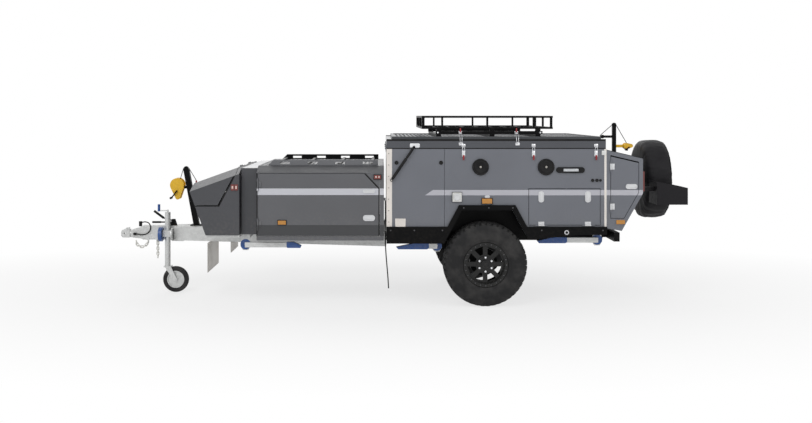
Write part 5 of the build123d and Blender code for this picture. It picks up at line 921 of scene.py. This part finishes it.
def tie_down(name, x, sign):
    """Draw latch of the basket: base and lever on its rail, bent bail, keeper on the lid's side."""
    pieces = [side_block(about(x, 0.016), (1.725, 1.752), sign, SEAT, 0.020, BASKET_RAIL)]
    raise_face(sign, 0.005, 0.006)
    soften(0.0012)
    for way in (-1, 1):
        bends = [Vector((x + way * half, sign * across, z)) for half, across, z in BAIL_BENDS]
        pieces += [rod_between(start, end, 0.0024) for start, end in zip(bends, bends[1:])]
    _, across, z = BAIL_BENDS[-1]
    pieces.append(rod_between(*(Vector((end, sign * across, z)) for end in about(x, BAIL_FOOT)), 0.0024))
    pieces.append(side_block(about(x, 0.021), (1.612, 1.638), sign, SEAT, 0.006))
    raise_face(sign, 0.006, 0.008, -0.003)
    soften(0.0012)
    fit(joined(pieces), name, chrome, "body_lid")
    lever = side_block(about(x, 0.008), (1.741, 1.784), sign, 0.0265, 0.033, BASKET_RAIL)
    taper(facing("z"), (0.7, 0.8, 1))
    soften(0.0024, 3)
    fit(lever, f"{name}_lever", red_paint, "body_lid")


def dots(name, places, sign, radius, face, material, body):
    """Domed rivet or bolt heads at places on a side."""
    model = pressed_round(0, face + 0.0015, 0, radius, 0.003, sign,
                          ((radius * 0.3, radius * 0.25), (radius * 0.25, radius * 0.1)), radius * 0.12, 14)
    heads = [copy_of(model, (x, 0, z)) for x, z in places]
    bpy.data.objects.remove(model)
    fit(joined(heads), name, material, body)


def blank_plate(name, x, z, sign, material, body):
    """Blank sheet plate with a raised border and four fixings."""
    pieces = [side_block(x, z, sign, SEAT, 0.0022)]
    press_in(sign, ((0.004, 0.0), (0.0012, -0.0009)))
    soften(0.0005)
    for px in (x[0] + 0.008, x[1] - 0.008):
        for pz in (z[0] + 0.008, z[1] - 0.008):
            pieces.append(start_round((px, sign * (SKIN + 0.0026), pz), 0.0028, 0.0012, sides=12))
            press_in(sign, ((0.0009, 0.0005),))
    fit(joined(pieces), name, material, body)


STRIP_RIVETS = [(-0.0655, 0.846 + 0.114 * k) for k in range(7)]
ARCH_BOLTS = [(x, 0.990) for x in (0.683, 0.933, 1.173)]
SILL_BOLTS = [(x, 0.765) for x in (-0.045, 0.19, 0.47, 1.46, 2.07)]
RAIL_BOLTS = [(x, 1.738) for x in (0.432, 1.468)]
SILL_FACE = SKIN + 0.03
for side, sign in SIDES:
    for name, x, z, stem in PILLS:
        pill(f"{name}_{side}", x, z, sign, f"{stem}_{side}")
    pill(f"side_tab_{side}", (0.896, 0.946), (1.086, 1.112), sign, "frame", 0.006)
    for name, x, z, stem, material in HINGES:
        hinge_leaf(f"{name}_{side}", x, z, sign, f"{stem}_{side}", material)
    for k, x in enumerate(LATCH_PLACES):
        over_centre(f"lid_latch_{k}_{side}", x, sign)
    for k, x in enumerate(TIE_PLACES):
        tie_down(f"basket_latch_{k}_{side}", x, sign)
    dots(f"strip_rivets_{side}", STRIP_RIVETS, sign, 0.0062, SKIN + 0.0033, steel_sheet, "frame")
    dots(f"arch_bolts_{side}", ARCH_BOLTS, sign, 0.0075, SILL_FACE, dull_steel, "frame")
    dots(f"sill_bolts_{side}", SILL_BOLTS, sign, 0.0075, SILL_FACE, dull_steel, "frame")
    dots(f"rail_bolts_{side}", RAIL_BOLTS, sign, 0.0085, BASKET_RAIL, chrome, "body_lid")
blank_plate("side_plate_left", (0.0, 0.104), (0.790, 0.880), -1, strip_alloy, "frame")


# Speakers, lamps, sockets, power inlet and seals

SPEAKER_FACE = SKIN + 0.009
SPEAKER_SCREWS = 0.077          # radius of the circle of screws
SPEAKER_STEPS = ((0.008, 0.0), (0.003, -0.005), (0.010, 0.004), (0.016, -0.0035), (0.018, -0.002))
LENS_STEPS = ((0.002, 0.0008),)
INLET_STEPS = ((0.006, 0.0), (0.002, -0.004), (0.010, 0.005))
SOCKET_STEPS = ((0.003, 0.001), (0.003, -0.0012))
# z limits of the small lamps' lenses, and their faces out of the skin
NOSE_LENS = ((1.178, 1.207), (0.0123, 0.0145))
BOX_LENS = ((1.288, 1.306), (0.0123, 0.0142))
# columns: name, x limits, z limits, faces out of the skin, steps, edge and its segments, finish, slot
SIDE_BLOCKS = (
    ("awning_lamp_lens", (1.681, 1.830), (1.353, 1.379), (0.0143, 0.019), ((0.003, 0.001), (0.003, -0.001)),
     (0.0014, 2), clear_lens, "fittings"),
    ("power_inlet", (0.572, 0.664), (1.050, 1.142), (0.0123, 0.020), INLET_STEPS, (0.0018, 3), white_mould,
     "fittings"),
    ("nose_lamp_lens_0", about(-1.6255, 0.008), *NOSE_LENS, LENS_STEPS, (0.0008, 2), pale_lens, "lamp_lens"),
    ("nose_lamp_lens_1", about(-1.5895, 0.008), *NOSE_LENS, LENS_STEPS, (0.0008, 2), pale_lens, "lamp_lens"),
    ("box_lamp_lens_0", about(-0.1915, 0.007), *BOX_LENS, LENS_STEPS, (0.0008, 2), pale_lens, "lamp_lens"),
    ("box_lamp_lens_1", about(-0.1625, 0.007), *BOX_LENS, LENS_STEPS, (0.0008, 2), pale_lens, "lamp_lens"),
    ("corner_block", (2.064, 2.106), (1.516, 1.560), (0.0036, 0.009), ((0.006, 0.0012),), (0.0012, 2),
     white_mould, "fittings"),
)
# columns: name, x, middle out of the skin, z, radius, thickness, steps, edge, sides, finish
SIDE_DISCS = (
    ("power_inlet_flap", 0.618, 0.0215, 1.096, 0.034, 0.005, ((0.004, 0.001), (0.006, -0.0015)), 0.001, 48,
     latch_mould),
    ("sill_port", 1.709, 0.0325, 0.745, 0.023, 0.004, ((0.004, 0.0015), (0.005, -0.003)), 0.0008, 48,
     latch_mould),
    ("sill_port_plug", 1.709, 0.0345, 0.745, 0.0125, 0.006, ((0.002, -0.001), (0.004, 0.002)), 0.0006, 32,
     black_mould),
    ("socket_cap_0", 1.974, 0.010, 1.263, 0.0155, 0.004, SOCKET_STEPS, 0.0006, 48, black_mould),
    ("socket_cap_1", 2.017, 0.010, 1.263, 0.0155, 0.004, SOCKET_STEPS, 0.0006, 48, black_mould),
    ("socket_cap_2", 2.052, 0.010, 1.263, 0.011, 0.004, SOCKET_STEPS, 0.0006, 48, black_mould),
)
LID_SEAM = (-0.086, 2.106)      # where the lid's sides begin and end
# columns: name, z limits, thickness, edge
LID_STRIPS = (("lid_seal", (1.5768, 1.5858), 0.0035, 0.0015), ("lid_trim", (1.656, 1.6755), 0.003, 0.0014))
BEZEL_RIM = 0.006
SEAL_WIDTH = 0.008
# columns: name, broken line along and up, body
SEAM_SEALS = (
    ("nose_seal", ((-2.001, 1.004), (-1.7635, 1.004), (-1.6055, 1.303)), "frame"),
    ("door_seal", ((-0.1635, 0.712), (-0.1635, 1.179), (-0.304, 1.3265)), "front_door"),
    ("edge_seal", ((-1.3845, 0.706), (-1.3845, 1.334)), "frame"),
)


def speaker(name, x, z, sign):
    """Round speaker: ringed rim, dished cone, domed middle and six screws."""
    ring = pressed_round(x, SPEAKER_FACE + 0.004, z, 0.083, 0.008, sign, SPEAKER_STEPS, 0.0011, 64)
    fit(ring, f"{name}_ring", black_mould, "frame")
    middle = pressed_round(x, SPEAKER_FACE + 0.0065, z, 0.0105, 0.011, sign,
                           ((0.003, 0.003), (0.003, 0.0015)), 0.0012, 32)
    fit(middle, f"{name}_middle", steel_sheet, "frame")
    turns = [pi / 3 * k for k in range(6)]
    screws = [(x + SPEAKER_SCREWS * cos(turn), z + SPEAKER_SCREWS * sin(turn)) for turn in turns]
    dots(f"{name}_screws", screws, sign, 0.0028, SPEAKER_FACE + 0.008, dull_steel, "frame")


def bezel(name, x, z, sign, body):
    """Black frame round a side lamp."""
    piece = side_block((x[0] - BEZEL_RIM, x[1] + BEZEL_RIM), (z[0] - BEZEL_RIM, z[1] + BEZEL_RIM), sign,
                       SEAT, 0.0145)
    pick(lambda normal: abs(normal.y) > FACING)
    bpy.ops.mesh.inset(thickness=BEZEL_RIM - 0.0006, depth=0, use_individual=True)
    bpy.ops.mesh.bridge_edge_loops()
    object_mode()
    soften(0.0014)
    fit(piece, name, black_mould, body)


def seam_seal(name, route, sign, body):
    """A flat rubber seal along a broken line on a side."""
    strips = []
    for start, end in zip(route, route[1:]):
        run = (end[0] - start[0], end[1] - start[1])
        strip = side_block((-SEAL_WIDTH / 2, hypot(*run)), about(0, SEAL_WIDTH / 2), sign, SEAT, 0.0018)
        soften(0.0006)
        rise = Matrix.Rotation(-atan2(run[1], run[0]), 4, "Y")
        strip.data.transform(Matrix.Translation((start[0], 0, start[1])) @ rise)
        strips.append(strip)
    fit(joined(strips), name, black_mould, body)


for side, sign in SIDES:
    for k, x in enumerate((0.853, 1.508)):
        speaker(f"speaker_{k}_{side}", x, 1.396, sign)
    for name, x, z, out, steps, edge, material, slot in SIDE_BLOCKS:
        block = side_block(x, z, sign, *out)
        press_in(sign, steps)
        soften(*edge)
        fit(block, f"{name}_{side}", material, "frame")
    for name, x, out, z, radius, thick, steps, edge, sides, material in SIDE_DISCS:
        disc = pressed_round(x, SKIN + out, z, radius, thick, sign, steps, edge, sides)
        fit(disc, f"{name}_{side}", material, "frame")
    bracket = side_block((0.147, 0.246), (1.590, 1.632), sign, SEAT, 0.005)
    round_corners(0.012, 4)
    soften(0.001)
    fit(bracket, f"strut_bracket_{side}", chrome, "body_lid")
    bezel(f"body_lamp_bezel_{side}", (0.868, 0.968), (1.031, 1.081), sign, "frame")
    bezel(f"door_lamp_bezel_{side}", (-1.172, -1.092), (0.821, 0.861), sign, f"front_door_{side}")
    bezel(f"box_lamp_bezel_{side}", (-0.212, -0.142), (1.276, 1.316), sign, "frame")
    for name, z, thick, edge in LID_STRIPS:
        strip = side_block(LID_SEAM, z, sign, SEAT, thick)
        soften(edge)
        fit(strip, f"{name}_{side}", black_mould, "body_lid")
    for name, route, body in SEAM_SEALS:
        seam_seal(f"{name}_{side}", route, sign, body if body == "frame" else f"{body}_{side}")


# Covers of the lid's struts and the grip of the brake's rod

STRUT_Y = 0.925
STRUT_FOOT = Vector((-0.037, 0, 1.266))
STRUT_RUN = (Vector((0.188, 0, 1.596)) - STRUT_FOOT).normalized()
# columns: body stem, start and end from the lower pin, radius
STRUT_COVERS = (("strut_tube", 0.016, 0.262, 0.0145), ("strut_rod", 0.266, 0.386, 0.0125))
for side, sign in SIDES:
    for stem, start, end, radius in STRUT_COVERS:
        points = [STRUT_FOOT + STRUT_RUN * along + Vector((0, sign * STRUT_Y, 0)) for along in (start, end)]
        fit(rod_between(*points, radius), f"{stem}_cover_{side}", black_mould, f"{stem}_{side}")
BRAKE_GRIP = (Vector((-2.641, -0.010, 0.746)), Vector((-2.545, -0.010, 0.746)))
fit(rod_between(*BRAKE_GRIP, 0.0115), "brake_grip", black_mould, "frame")


# Locking ring of the jockey wheel's clamp, and the rings of its swivel

CLAMP_MIDDLE = (-0.131, 0.628)
for name, x, radius, thick, material in (("clamp_ring", -2.5195, 0.077, 0.040, blue_paint),
                                         ("clamp_swivel", -2.3985, 0.066, 0.016, zinc)):
    ring = start_round((x, *CLAMP_MIDDLE), radius, thick, "X", 64)
    pick(lambda normal: abs(normal.x) > FACING)
    bpy.ops.mesh.inset(thickness=0.012, depth=0, use_individual=True)
    bpy.ops.transform.resize(value=(0.8, 1, 1))
    object_mode()
    soften(0.003, 3)
    fit(ring, name, material, "frame")


# Floor, light and view

FLOOR_HALF = 60
FLOOR_LOW = -0.0005
FLOOR_TONES = ((0.86, 0.86, 0.86, 1), (0.9, 0.9, 0.9, 1))
FLOOR_FADE = (1.5, 4.0, 0.72, 1.0)     # distances over which the floor goes white, and its whiteness there
WORLD_LIGHT = 0.36
AIM = Vector((0, 0, 0.8))

fresh()
bpy.ops.mesh.primitive_plane_add(size=2 * FLOOR_HALF, location=(0, 0, FLOOR_LOW))
floor = bpy.context.object
floor.name = "floor"
floor_paint = bpy.data.materials.new("floor_paint")
floor_paint.use_nodes = True
wiring = Wiring(floor_paint.node_tree)
floor_shader = floor_paint.node_tree.nodes["Principled BSDF"]
floor_tone = wiring.blend(wiring.spread(wiring.cloud(0.6, 2), *NOISE_SPAN), *FLOOR_TONES)
wiring.feed(floor_shader, **{"Base Color": floor_tone, "Roughness": 0.9})
floor_place = wiring.add("ShaderNodeVectorMath", operation="LENGTH")
wiring.feed(floor_place, _0=wiring.place((0.55, 1, 1)))
floor_fade = wiring.spread(floor_place.outputs["Value"], *FLOOR_FADE)
floor_white = wiring.add("ShaderNodeEmission")
floor_mix = wiring.add("ShaderNodeMixShader")
wiring.feed(floor_mix, _0=wiring.math("MULTIPLY", wiring.seen(), floor_fade), _1=floor_shader.outputs[0],
            _2=floor_white.outputs[0])
wiring.feed(floor_paint.node_tree.nodes["Material Output"], Surface=floor_mix.outputs[0])
floor.data.materials.append(floor_paint)

world = bpy.data.worlds.new("studio")
bpy.context.scene.world = world
world.use_nodes = True
wiring = Wiring(world.node_tree)
wiring.feed(world.node_tree.nodes["Background"], Color=(1, 1, 1, 1),
            Strength=wiring.spread(wiring.seen(), 0, 1, WORLD_LIGHT, 1.0))


def softbox(name, place, size, power):
    """A large area lamp aimed at the trailer."""
    data = bpy.data.lights.new(name, "AREA")
    data.size = size
    data.energy = power
    lamp = bpy.data.objects.new(name, data)
    bpy.context.collection.objects.link(lamp)
    lamp.location = place
    lamp.rotation_euler = (AIM - Vector(place)).to_track_quat("-Z", "Y").to_euler()


softbox("key", (-5, -9, 8), 7, 470)
softbox("fill", (7, -7, 6), 7, 235)
softbox("back", (0, 9, 7), 8, 290)

bpy.context.scene.view_settings.view_transform = "Standard"
